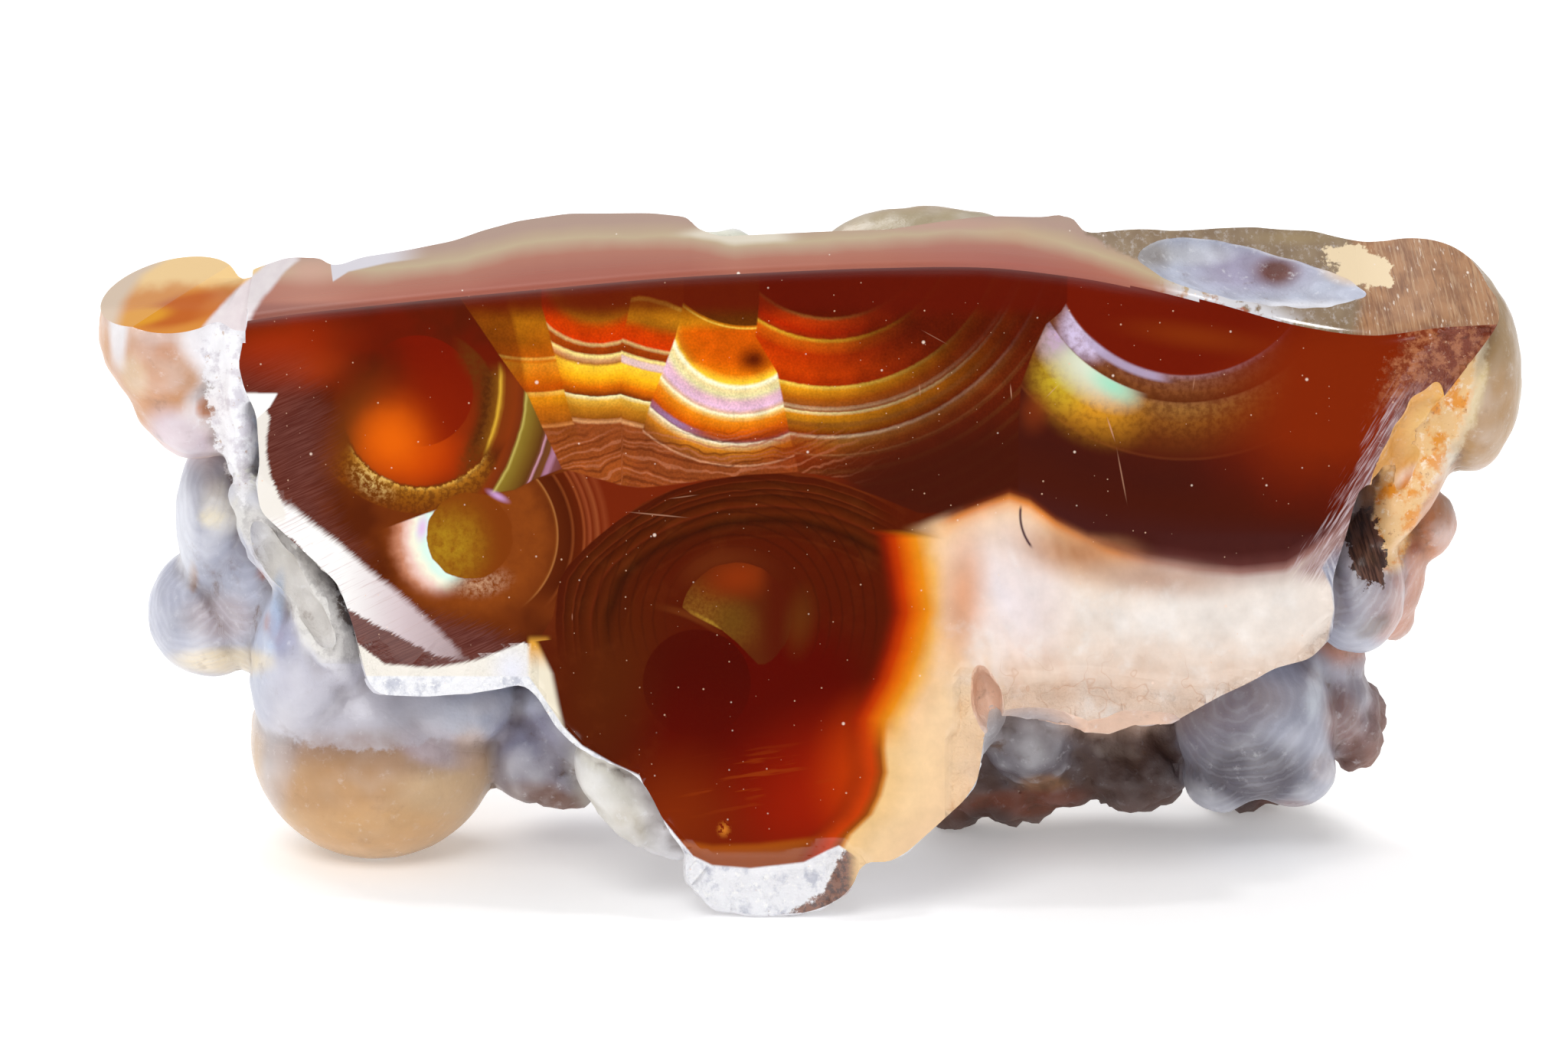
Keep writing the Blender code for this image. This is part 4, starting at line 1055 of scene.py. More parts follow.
def first_orb(d, colour):
    """The round bubble at the upper left: a glowing heart in a mottled gold ring."""
    spots = d.mottle(7, 2.0, 0.65)
    r = d.distance(549.8, 532.5) + (spots - 0.5) * 5.0
    inside = r.rise(105, 100)
    cloud = d.mottle(46, 3.0)
    colour = laid(colour, (146, 42, 4), inside * d.glow(560, 560, 114, 114))
    colour = laid(colour, (180, 54, 2), inside * d.glow(545, 600, 92, 52) ** 0.7)
    colour = laid(colour, (212, 84, 4), inside * d.glow(520, 576, 84, 82) * (cloud * 0.9 + 0.4).least(1.0))
    colour = laid(colour, (226, 98, 6), inside * d.glow(510, 572, 60, 56) * 0.8)
    disc = d.distance(546, 511).rise(73.5, 71.5)
    colour = laid(colour, (122, 20, 2), disc * (d.u - d.v * 0.35).rise(330, 392) * 0.72)
    colour = laid(colour, (98, 48, 10), inside * r.rise(66, 88) * d.u.rise(588, 616)
                  * (spots * 1.1 + 0.2).least(1.0))
    ring = r.bands([
        (100, (108, 34, 6)), (104, (140, 74, 16)), (106, (214, 160, 66)), (110, (174, 112, 30)),
        (118, (142, 82, 16)), (134, (122, 60, 12)),
    ])
    ring = laid(ring, (92, 42, 10), spots.rise(0.66, 0.34) * 0.7)
    arc = r.rise(101, 105) * d.distance(551.9, 510.2).rise(162, 159)
    bright = d.v.rise(560, 610) * d.glow(540, 640, 150, 105).rise(0.0, 0.35)
    colour = laid(colour, ring, arc * bright)
    colour = laid(colour, (232, 204, 130), arc * spots.rise(0.4, 0.75) * d.glow(486, 628, 46, 26, 35.0)
                  * 0.7)
    return colour


def right_rings(d, colour):
    """Thin rings between the first orb and the fire: gold, olive and lilac."""
    r = d.distance(427.8, 497.5) + d.waver(30, 3.0)
    rings = r.bands([
        (185, (78, 26, 5)), (212, (96, 48, 12)), (223, (126, 74, 16)), (226.5, (214, 166, 50)),
        (230, (150, 92, 24)), (234, (120, 50, 12)), (247, (128, 50, 12)), (257, (112, 44, 14)),
        (259, (128, 96, 40)), (261, (186, 168, 84)), (264, (136, 112, 38)), (277, (116, 84, 26)),
        (289, (92, 52, 18)), (292, (112, 66, 46)), (294, (196, 142, 158)), (297, (104, 60, 32)),
        (304, (112, 64, 28)), (307, (160, 108, 132)), (311, (168, 116, 140)), (316, (122, 70, 72)),
        (330, (112, 50, 30)),
    ])
    rings = laid(rings, (70, 28, 6), d.mottle(6, 2.0, 0.6).rise(0.65, 0.35) * r.rise(228, 200) * 0.8)
    meeting = [(600, 658), (640, 645), (672, 640), (700, 625), (740, 610)]
    near = r.rise(196, 212) * d.v.rise(470, 500) * ~d.under(meeting, 1.5)
    near = near * (r.rise(240, 250).most(d.v.rise(600, 570)))
    return laid(colour, rings, near)


def second_orb(d, colour):
    """The smaller bubble under it: an olive disc, a lilac crescent on its left and rings on its right."""
    spots = d.mottle(6, 3.0, 0.65)
    s = d.distance(613.2, 700)
    halo = s + d.waver(14, 10.0)
    meeting = [
        (440, 760), (470, 705), (500, 691), (553, 672), (600, 655), (640, 646), (672, 640), (700, 626),
        (760, 610),
    ]
    below = d.under(meeting, 1.5)
    colour = laid(colour, (134, 64, 18), halo.rise(124, 86) * below
                  * (d.mottle(24, 4.0, 0.65) * 1.1 + 0.3).least(1.0))
    rings = s.bands([
        (108, (128, 62, 18)), (113, (132, 68, 22)), (114.8, (166, 104, 52)), (117, (88, 32, 7)),
        (132, (78, 26, 5)), (135.5, (122, 58, 24)), (138, (86, 28, 5)), (147, (92, 30, 6)),
        (150, (140, 66, 30)), (153, (104, 36, 10)), (158, (140, 64, 32)), (161, (108, 36, 10)),
        (168, (142, 68, 34)), (172, (112, 36, 10)), (178, (130, 54, 24)), (185, (112, 34, 8)),
    ])
    colour = laid(colour, rings, s.rise(110, 116) * below * d.u.rise(668, 700) * d.v.rise(800, 760))
    colour = laid(colour, (206, 164, 130), s.band(56, 84, 8.0) * d.glow(625, 760, 58, 30)
                  * spots.rise(0.25, 0.75) * 0.8)
    crescent = halo.bands([
        (52, (222, 248, 236)), (62, (214, 240, 226)), (72, (240, 238, 216)), (82, (232, 196, 184)),
        (94, (204, 138, 108)), (112, (150, 74, 36)),
    ])
    strength = halo.rise(116, 84) * below * d.glow(548, 716, 88, 74, 40.0).rise(0.0, 0.4)
    colour = laid(colour, crescent, strength)
    colour = laid(colour, (222, 190, 226), below * d.glow(551, 690, 12, 26, 10.0) * s.rise(54, 58))
    disc = laid((128, 62, 12), (170, 128, 26), d.glow(586, 712, 76, 70)
                * (d.mottle(13, 3.0, 0.7) * 1.7 - 0.1).least(1.0))
    disc = laid(disc, (112, 60, 10), spots.rise(0.5, 0.25) * 0.35)
    disc = laid(disc, (120, 50, 10), d.u.rise(610, 660) * 0.6)
    rim = s + d.waver(16, 4.0)
    colour = laid(colour, disc, rim.rise(57.5, 55.5))
    return laid(colour, (196, 150, 200), d.glow(650, 648, 22, 7, 28.0))


def lobe(d, colour):
    """The low lobe: dark rings under the fire, a dull gold crescent and a deep red heart."""
    drop = d.v.curve([(740, 0), (757, 2), (803, 21), (873, 56), (960, 110)]) * d.u.rise(900, 800)
    t = (d.distance(999.8, 953.7) + drop) * -1.0 + 335.8
    wobble = d.waver(50, 5.0)
    haze = d.mottle(44, 4.0, 0.6)
    outline = [
        (690, 860), (722, 805), (731, 757), (742, 738), (773, 707), (807, 680), (840, 657), (877, 640),
        (923, 628), (977, 620), (1040, 617), (1090, 628), (1150, 650), (1200, 670),
    ]
    inside = d.under(outline, 1.5)
    ground = laid((82, 22, 4), (86, 8, 1), d.glow(985, 930, 250, 190, -20.0).rise(0.0, 0.6))
    ground = d.lit(ground, [
        ((84, 32, 6), (790, 880, 110, 190, 12.0), 0.9), ((150, 26, 2), (1080, 1040, 240, 150, -25.0), 1.0),
        ((132, 42, 4), (880, 1070, 120, 130, 30.0), 0.8), ((190, 58, 2), (1130, 1010, 90, 130, 6.0), 0.9),
    ])
    rings = (t + wobble).bands([
        (0, (104, 40, 12)), (2, (70, 20, 5)), (8, (76, 24, 6)), (9.5, (98, 36, 12)), (11, (62, 22, 4)),
        (19, (84, 34, 8)), (20.5, (104, 40, 14)), (22, (60, 20, 4)), (27, (90, 34, 10)), (29, (56, 20, 4)),
        (40, (92, 36, 8)), (42, (100, 36, 12)), (45, (66, 24, 5)), (52, (86, 34, 8)), (58, (60, 24, 5)),
        (62, (44, 16, 4)), (64, (56, 20, 5)), (70, (74, 26, 6)), (80, (60, 18, 4)), (83, (88, 36, 10)),
        (86, (66, 20, 4)), (96, (70, 20, 4)),
    ])
    ground = laid(ground, rings, t.rise(96, 62) * d.u.rise(1185, 1120) * d.v.rise(880, 780)
                  * (haze * 0.8 + 0.35).least(1.0))
    ground = laid(ground, (116, 52, 18), haze.rise(0.5, 0.75) * t.rise(240, 60) * 0.15)
    crescent = d.distance(961.7, 806.9) + d.waver(20, 3.0)
    spots = d.mottle(5, 2.0, 0.6)
    ground = laid(ground, (104, 44, 14), crescent.band(72, 96, 8.0) * d.glow(945, 745, 90, 50) * 0.8)
    ground = laid(ground, (46, 14, 4), (crescent * 0.42).through("SINE").rise(0.6, 1.0)
                  * crescent.band(96, 190, 10.0) * d.v.rise(880, 800) * 0.3)
    heart = laid((88, 34, 8), (132, 84, 26), d.glow(925, 803, 92, 54, 25.0) * (spots * 1.3).least(1.0))
    heart = d.lit(heart, [
        ((132, 46, 8), (965, 754, 76, 44, -8.0), 1.0), ((98, 64, 16), (955, 812, 46, 44), 0.7),
    ])
    heart = laid(heart, (84, 22, 5), d.u.rise(985, 1015))
    shelf = [(880, 782), (903, 797), (930, 812), (960, 838), (990, 862)]
    heart = laid(heart, (178, 138, 44), d.under(shelf, 3.0) * d.glow(928, 812, 44, 26, 34.0)
                 * (spots * 1.2 + 0.1).least(1.0))
    brink = [(870, 784), (887, 790), (903, 803), (923, 813), (943, 823), (963, 840), (990, 868)]
    over_cusp = ~d.under(brink, 1.5)
    ground = laid(ground, heart, crescent.rise(72.8, 71) * over_cusp)
    ground = laid(ground, (112, 74, 22), d.glow(1045, 812, 30, 64, 8.0) * 0.28)
    cusp = d.distance(835.4, 961.5)
    ground = laid(ground, (122, 62, 22), cusp.band(166, 175, 3.0) * d.glow(900, 812, 62, 30, 25.0) * 0.5)
    ground = laid(ground, (70, 8, 2), d.distance(909.8, 893.1).rise(71.5, 69.5) * d.v.rise(990, 860) * 0.75)
    ground = laid(ground, (150, 58, 10), d.streaks(-8, 90, 8).rise(0.55, 0.7)
                  * d.glow(980, 1020, 160, 60, -12.0) * 0.6)
    foot = [(860, 1095), (930, 1106), (990, 1104), (1060, 1096), (1120, 1082)]
    ground = laid(ground, (158, 74, 12), d.under(foot, 5.0))
    foot = [(900, 1112), (950, 1116), (1010, 1112), (1090, 1096)]
    ground = laid(ground, (140, 66, 22), d.under(foot, 8.0) * 0.7)
    ground = laid(ground, (206, 120, 36), d.glow(945, 1085, 12, 14) * spots.rise(0.4, 0.5))
    return laid(colour, ground, inside * (d.mottle(3.0, 1.0) * 0.2 + 0.9).least(1.0))


def right_orb(d, colour):
    """The large bubble on the right: lilac, green and gold on its left side, dying to brown."""
    spots = d.mottle(9, 3.0, 0.6)
    r = d.distance(1547.3, 313)
    seam = [(1393, 395), (1385, 408), (1366, 424), (1348, 463), (1333, 503), (1330, 556), (1330, 660)]
    right = d.right_of(seam, 1.5)
    ground = laid((108, 22, 4), (126, 36, 5), d.glow(1740, 520, 260, 180, -25.0).rise(0.0, 0.8))
    ground = laid(ground, (140, 56, 10), d.glow(1560, 440, 140, 26, 8.0) * 0.5)
    outer = r.bands([
        (172, (112, 26, 6)), (176.5, (120, 30, 8)), (179, (150, 108, 110)), (186, (132, 80, 56)),
        (200, (126, 70, 34)), (212, (96, 44, 18)), (214.5, (142, 92, 50)), (222, (150, 100, 46)),
        (240, (134, 78, 26)), (262, (104, 48, 16)), (284, (84, 30, 12)), (287, (100, 44, 20)),
        (290, (70, 22, 12)), (320, (62, 20, 14)),
    ])
    outer = laid(outer, (86, 36, 12), spots.rise(0.7, 0.3) * r.band(178, 280, 4.0) * 0.6)
    ground = laid(ground, outer, r.rise(174, 179) * d.u.rise(1700, 1530))
    band = r.band(179, 207, 1.5)
    ground = laid(ground, (206, 190, 220), band * d.glow(1418, 436, 56, 46, 45.0).rise(0.0, 0.6)
                  * (spots * 1.1 + 0.25).least(1.0))
    ground = laid(ground, (176, 160, 190), r.band(178, 188, 3.0)
                  * d.glow(1470, 476, 90, 30, 30.0).rise(0.0, 0.6) * 0.8)
    inner = r.rise(206, 209)
    ground = laid(ground, (214, 146, 34), inner * d.glow(1424, 524, 100, 66, 28.0)
                  * (spots * 1.4 + 0.2).least(1.0))
    ground = laid(ground, (194, 168, 40), inner * d.glow(1388, 498, 60, 52, 40.0)
                  * (spots * 1.5 + 0.1).least(1.0))
    ground = laid(ground, (216, 222, 200), inner * d.glow(1424, 482, 88, 46, 36.0) ** 0.7)
    ground = laid(ground, (150, 220, 190), inner * d.glow(1452, 504, 52, 22, 32.0) * 0.8)
    ground = laid(ground, (190, 160, 190), inner * d.glow(1380, 440, 30, 44, 30.0)
                  * (spots * 1.6).least(1.0))
    ground = laid(ground, (150, 62, 20), inner * d.glow(1350, 540, 30, 40, 10.0) * 0.5)
    dusk = [(1320, 560), (1400, 590), (1500, 618), (1620, 624), (1740, 650)]
    ground = laid(ground, (70, 22, 10), d.under(dusk, 70.0, d.waver(80, 60.0, 3.0)) * 0.94)
    dusk = [(1320, 640), (1450, 680), (1560, 690), (1740, 700)]
    ground = laid(ground, (66, 30, 30), d.under(dusk, 30.0) * 0.6)
    return laid(colour, ground, right)


def milk(d, colour):
    """The pale chalcedony at the lower right, which the dark agate fades into through orange."""
    wisps = d.streaks(70, 120, 40)
    line = [(1150, 715), (1165, 700), (1200, 692), (1240, 676), (1280, 660), (1318, 646), (1345, 655),
            (1380, 682), (1440, 714), (1500, 733), (1560, 744), (1620, 748), (1680, 742), (1720, 716),
            (1750, 690), (1800, 640)]
    edge = [(1165, 690), (1195, 700), (1205, 750), (1212, 800), (1200, 850), (1186, 890), (1158, 940),
            (1157, 980), (1160, 1010), (1152, 1040), (1140, 1065), (1112, 1092), (1090, 1130)]
    side = d.u - d.v.curve([(v, u) for u, v in edge])
    ramp_side = side.bands([
        (-60, (96, 24, 4)), (-42, (150, 30, 2)), (-28, (190, 56, 2)), (-14, (222, 104, 6)),
        (0, (232, 140, 24)), (14, (238, 176, 90)), (34, (240, 198, 150)), (60, (242, 206, 162)),
        (110, (240, 206, 168)),
    ])
    sharp = d.v.rise(930, 990)
    low_side = side.bands([
        (-60, (96, 24, 4)), (-20, (196, 60, 6)), (-8, (150, 70, 14)), (-3, (206, 130, 50)),
        (3, (242, 200, 140)), (40, (244, 208, 160)), (110, (238, 202, 164)),
    ])
    body = laid(ramp_side, low_side, sharp)
    gap = d.v - d.u.curve(line)
    top = gap.bands([
        (-14, (70, 24, 14)), (-4, (120, 50, 22)), (4, (216, 130, 60)), (12, (236, 176, 124)),
        (26, (240, 200, 160)), (60, (240, 208, 178)),
    ])
    far = gap.bands([
        (-26, (72, 30, 26)), (-10, (92, 48, 44)), (0, (150, 108, 100)), (8, (196, 176, 168)),
        (24, (218, 204, 194)), (60, (232, 216, 204)),
    ])
    top = laid(top, far, d.u.rise(1440, 1540))
    divide = [(1225, 680), (1250, 800), (1262, 860), (1290, 930), (1300, 1000)]
    east = d.right_of(divide, 40.0, d.waver(70, 90.0, 3.0))
    body = laid(body, top, east)
    within = gap.rise(0, 46)
    clouds = d.mottle(54, 4.0, 0.6)
    body = laid(body, (232, 214, 200), gap.rise(30, 100) * d.u.rise(1300, 1420))
    body = laid(body, (236, 226, 218), d.glow(1600, 796, 280, 110) ** 0.7 * within)
    body = laid(body, (236, 224, 226), d.glow(1318, 778, 96, 128, -12.0) ** 0.6
                * (wisps * 0.5 + 0.7).least(1.0))
    body = laid(body, (184, 128, 90), d.glow(1405, 722, 130, 50, 10.0) * (wisps * 0.9 + 0.45).least(1.0))
    body = d.lit(body, [
        ((190, 154, 134), (1510, 756, 150, 36, 4.0), 0.9),
        ((216, 150, 108), (1258, 780, 46, 130, 4.0), 0.85),
    ])
    body = laid(body, (206, 150, 116), d.glow(1330, 880, 120, 60, 10.0) * wisps.rise(0.35, 0.7) * 0.6)
    cloud_line = [(1250, 876), (1400, 866), (1560, 870), (1700, 860)]
    body = laid(body, (218, 188, 166), d.under(cloud_line, 44.0, d.waver(90, 120.0, 3.0)) * east * 0.7)
    body = laid(body, (208, 170, 142), clouds.rise(0.5, 0.8) * d.v.rise(760, 900) * east * 0.5)
    body = laid(body, (240, 234, 230), clouds.rise(0.5, 0.25) * within * east * d.v.rise(700, 800) * 0.5)
    for place in ((1330, 742, 60, 22, 60.0), (1296, 860, 50, 90, 10.0), (1480, 812, 150, 26, -6.0)):
        body = laid(body, (250, 244, 240), d.glow(*place) * wisps.rise(0.35, 0.6) * 0.5)
    body = dimmed(body, d.mottle(46, 5.0, 0.6) * 0.36 + 0.76)
    crack = d.mottle(60, 2.0)
    body = laid(body, (196, 150, 120), (crack - 0.5).through("ABSOLUTE").rise(0.012, 0.0)
                * d.v.rise(840, 900) * east * 0.5)
    body = laid(body, (70, 40, 50), d.distance(1400, 672).band(66, 69, 1.5)
                * d.glow(1334, 690, 22, 38, -14.0).rise(0.0, 0.3))
    colour_line = gap.rise(-14, 2).most(d.u.rise(1440, 1540) * gap.rise(-26, 0))
    inside = (colour_line * d.u.rise(1170, 1240)).most(side.rise(-60, -30) * d.v.rise(690, 706))
    return laid(colour, body, inside)


def margins(d, colour):
    """The rims: coarse ground strips, feathered into the polish, a painted reflection of white light on the
    steep strip at the lower left, and the crust that shows beside it.
    """
    hair = d.streaks(-32, 60, 2.2) - 0.5
    brushed = laid((88, 42, 36), (112, 66, 58), d.streaks(-24, 50, 1.8, 4.0).rise(0.35, 0.7))
    brushed_edge = [(380, 400), (398, 470), (424, 540), (420, 620), (430, 680), (470, 720)]
    left = ~d.right_of(brushed_edge, 30.0, hair * 40.0)
    colour = laid(colour, brushed, left * d.v.rise(430, 560) * 0.8)
    low = d.under([(440, 720), (500, 775), (560, 806), (620, 820), (700, 846)], 16.0, hair * 50.0)
    colour = laid(colour, brushed, low * d.u.rise(720, 640) * 0.9)
    # painted reflection: the steep ground strip's brushed frost, with the white glare it throws back painted
    # into its colour, fading out towards its lower right end
    strip_top = [
        (330, 638), (345, 648), (385, 666), (420, 694), (440, 708), (480, 744), (520, 775), (560, 810),
        (606, 858),
    ]
    white = d.under(strip_top, 8.0, hair * 14.0)
    strip_foot = [
        (330, 664), (345, 690), (380, 703), (420, 750), (446, 792), (480, 812), (520, 832), (570, 858),
        (620, 864),
    ]
    white = white * ~d.under(strip_foot, 3.0, hair * 14.0)
    strip_frost_and_glare = laid((240, 238, 236), (206, 188, 192), d.u.rise(430, 540))
    strip_frost_and_glare = laid(strip_frost_and_glare, (200, 178, 178), d.streaks(-26, 80, 2.4, 3.0).rise(0.55, 0.7) * 0.6)
    colour = laid(colour, strip_frost_and_glare, white * d.u.curve([(440, 1.0), (520, 0.9), (590, 0.5), (610, 0.0)]))
    cream_top = [
        (440, 820), (466, 842), (500, 868), (560, 873), (620, 863), (650, 852), (683, 840), (700, 850),
    ]
    cream = d.under(cream_top, 3.0, hair * 6.0)
    cream = cream * d.u.rise(704, 696)
    colour = laid(colour, (236, 230, 220), cream)
    colour = laid(colour, (232, 232, 242), d.glow(668, 876, 40, 44) * cream)
    band_edge = [(331, 500), (352, 545), (347, 580), (352, 620), (364, 648), (372, 668)]
    band = ~d.right_of(band_edge, 3.0, hair * 8.0)
    colour = laid(colour, (228, 222, 214), band * d.v.rise(510, 520) * d.v.rise(690, 670))
    chip = ~d.right_of([(362, 515), (352, 532), (334, 548)], 2.0)
    colour = laid(colour, (250, 248, 246), chip * d.v.band(514, 550, 2.0))
    wedge = ~d.right_of([(700, 838), (716, 836), (720, 880), (728, 920), (738, 965)], 5.0)
    wedge = wedge * d.u.rise(686, 694) * d.v.rise(828, 842)
    colour = laid(colour, laid((222, 160, 60), (232, 222, 200), d.v.rise(840, 880)), wedge)
    rim = d.under(UNDER_LOBE[:-1], 2.0)
    crust = laid((240, 240, 244), (196, 198, 210), d.mottle(40, 5.0, 0.65).rise(0.48, 0.68))
    crust = laid(crust, (254, 253, 252), d.mottle(12, 4.0, 0.7).rise(0.55, 0.7) * 0.8)
    rust_line = [(880, 1216), (960, 1208), (1030, 1196), (1076, 1168), (1094, 1130), (1120, 1090)]
    rust = d.under(rust_line, 4.0, d.waver(14, 40.0, 5.0, 0.75))
    crust = laid(crust, laid((136, 84, 56), (84, 48, 34), d.mottle(9, 4.0, 0.7).rise(0.45, 0.6)),
                 rust * 0.9)
    return laid(colour, crust, rim * d.u.rise(1124, 1104))


def right_margin(d, colour):
    """The right edge: rusty grains above, feathered lilac further down, a grey shell round the milk's end."""
    rough = d.mottle(12, 4.0, 0.7)
    feather = d.streaks(-58, 44, 3.0)
    grains = laid((124, 56, 32), (172, 108, 72), d.mottle(20, 5.0, 0.75).rise(0.42, 0.62))
    grains = laid(grains, (226, 190, 160), rough.rise(0.66, 0.76) * 0.6)
    grains = laid(grains, (92, 40, 24), rough.rise(0.36, 0.26) * 0.7)
    grain_edge = [(1880, 400), (1846, 430), (1822, 470), (1800, 520), (1782, 570), (1772, 620)]
    edge = d.right_of(grain_edge, 12.0, (rough - 0.5) * 60.0)
    colour = laid(colour, grains, edge * d.v.rise(560, 480) * 0.9)
    veil_edge = [(1846, 470), (1812, 540), (1784, 600), (1756, 660), (1724, 712), (1696, 744)]
    veil = d.right_of(veil_edge, 14.0, (feather - 0.5) * 60.0)
    lilac = laid((134, 92, 88), (196, 176, 180), feather.rise(0.4, 0.7))
    colour = laid(colour, lilac, veil * d.v.rise(480, 560) * d.v.rise(770, 740) * 0.85)
    shell_edge = [(1775, 640), (1752, 700), (1728, 742), (1740, 768), (1744, 796), (1736, 834), (1718, 868)]
    shell = d.right_of(shell_edge, 2.5)
    grey = laid((140, 142, 162), (202, 202, 212), d.streaks(72, 60, 5.0).rise(0.35, 0.7))
    return laid(colour, grey, shell * d.v.rise(700, 752))


# scratches: start, end, half width, and how much each shows
SCRATCHES = [
    ((1444, 541), (1457, 580), 1.6, 0.8), ((1457, 580), (1473, 663), 1.4, 0.6),
    ((1319, 500), (1321, 524), 1.2, 0.8), ((1200, 500), (1202, 520), 1.0, 0.6),
    ((1385, 500), (1364, 521), 1.1, 0.6), ((812, 668), (905, 677), 1.4, 0.6),
    ((1560, 490), (1557, 512), 1.0, 0.5), ((870, 652), (915, 646), 1.0, 0.5),
    ((747, 800), (747, 812), 1.0, 0.5), ((1200, 430), (1240, 452), 0.9, 0.4),
]


def dust(d, colour):
    """Dust on the polish, and a few scratches."""
    colour = laid(colour, (240, 214, 196), d.specks(50.0, 1.6, 0.14) * 0.8)
    colour = laid(colour, (232, 190, 160), d.specks(17.0, 0.9, 0.14) * 0.6)
    for start, end, width, strength in SCRATCHES:
        colour = laid(colour, (206, 152, 122), d.stroke(start, end, width) * strength * 0.7)
    return colour


def front_colour(d):
    """The whole front, from the dark base up."""
    haze = d.mottle(90, 3.0)
    colour = laid((100, 22, 4), (108, 46, 12), d.v.rise(450, 620))
    colour = laid(colour, (74, 24, 6), haze.rise(0.4, 0.7) * 0.7)
    colour = d.lit(colour, [
        ((156, 44, 6), (360, 455, 150, 62, -8.0), 0.9), ((168, 56, 14), (400, 485, 90, 40, -8.0), 0.6),
        ((112, 56, 14), (470, 560, 60, 110, 20.0), 0.7),
    ])
    colour = first_orb(d, colour)
    colour = right_rings(d, colour)
    colour = second_orb(d, colour)
    fire_edge = [(596, 380), (600, 386), (619, 415), (655, 468), (690, 517), (712, 566), (734, 612)]
    in_fire = d.right_of(fire_edge, 1.2)
    lobe_edge = [
        (640, 640), (700, 622), (734, 612), (770, 622), (812, 634), (840, 637), (870, 634), (944, 624),
        (1040, 617), (1100, 625), (1140, 640), (1180, 655), (1400, 700),
    ]
    over_edge = ~d.under(lobe_edge, 1.5)
    colour = laid(colour, fire_layers(d), in_fire * over_edge)
    shade = [(1040, 640), (1150, 586), (1250, 548), (1330, 536), (1420, 560)]
    colour = laid(colour, (66, 20, 8), d.under(shade, 50.0) * d.u.rise(1040, 1130) * 0.95)
    colour = laid(colour, (96, 18, 4), d.v.rise(424, 396) * in_fire * 0.85)
    colour = lobe(d, colour)
    colour = right_orb(d, colour)
    colour = milk(d, colour)
    colour = right_margin(d, colour)
    colour = margins(d, colour)
    return dust(d, colour)


GRIT_SCALE = 1500.0
GRIT_HEIGHT = 0.00025
# where the ridge lies on the sheet: the polish is duller along it
RIDGE_DRAWN = [(300, 415), (512, 391), (721, 371), (870, 358), (1024, 350), (1142, 345), (1280, 344),
               (1382, 354), (1485, 371), (1587, 393), (1694, 422)]

tree, shader = surface(FRONT)
drawing = Drawing(tree)
tree.links.new(front_colour(drawing).socket, shader.inputs["Base Color"])
nature = tree.nodes.new("ShaderNodeVertexColor")
grit = tree.nodes.new("ShaderNodeTexNoise")
raised = tree.nodes.new("ShaderNodeBump")
nature.layer_name = "nature"
unpolished = Signal(nature.outputs["Alpha"])
grit.inputs["Scale"].default_value = GRIT_SCALE
grit.inputs["Detail"].default_value = 5.0
grit.inputs["Roughness"].default_value = 0.65
tree.links.new(tree.nodes["Texture Coordinate"].outputs["Object"], grit.inputs["Vector"])
above = ~drawing.under(RIDGE_DRAWN, 10.0, -14.0) * drawing.u.rise(1600, 1450)
tree.links.new((unpolished * 0.38 + above * 0.4 + 0.08).socket, shader.inputs["Roughness"])
tree.links.new((Signal(grit.outputs["Fac"]) * unpolished).socket, raised.inputs["Height"])
raised.inputs["Distance"].default_value = GRIT_HEIGHT
tree.links.new(raised.outputs["Normal"], shader.inputs["Normal"])
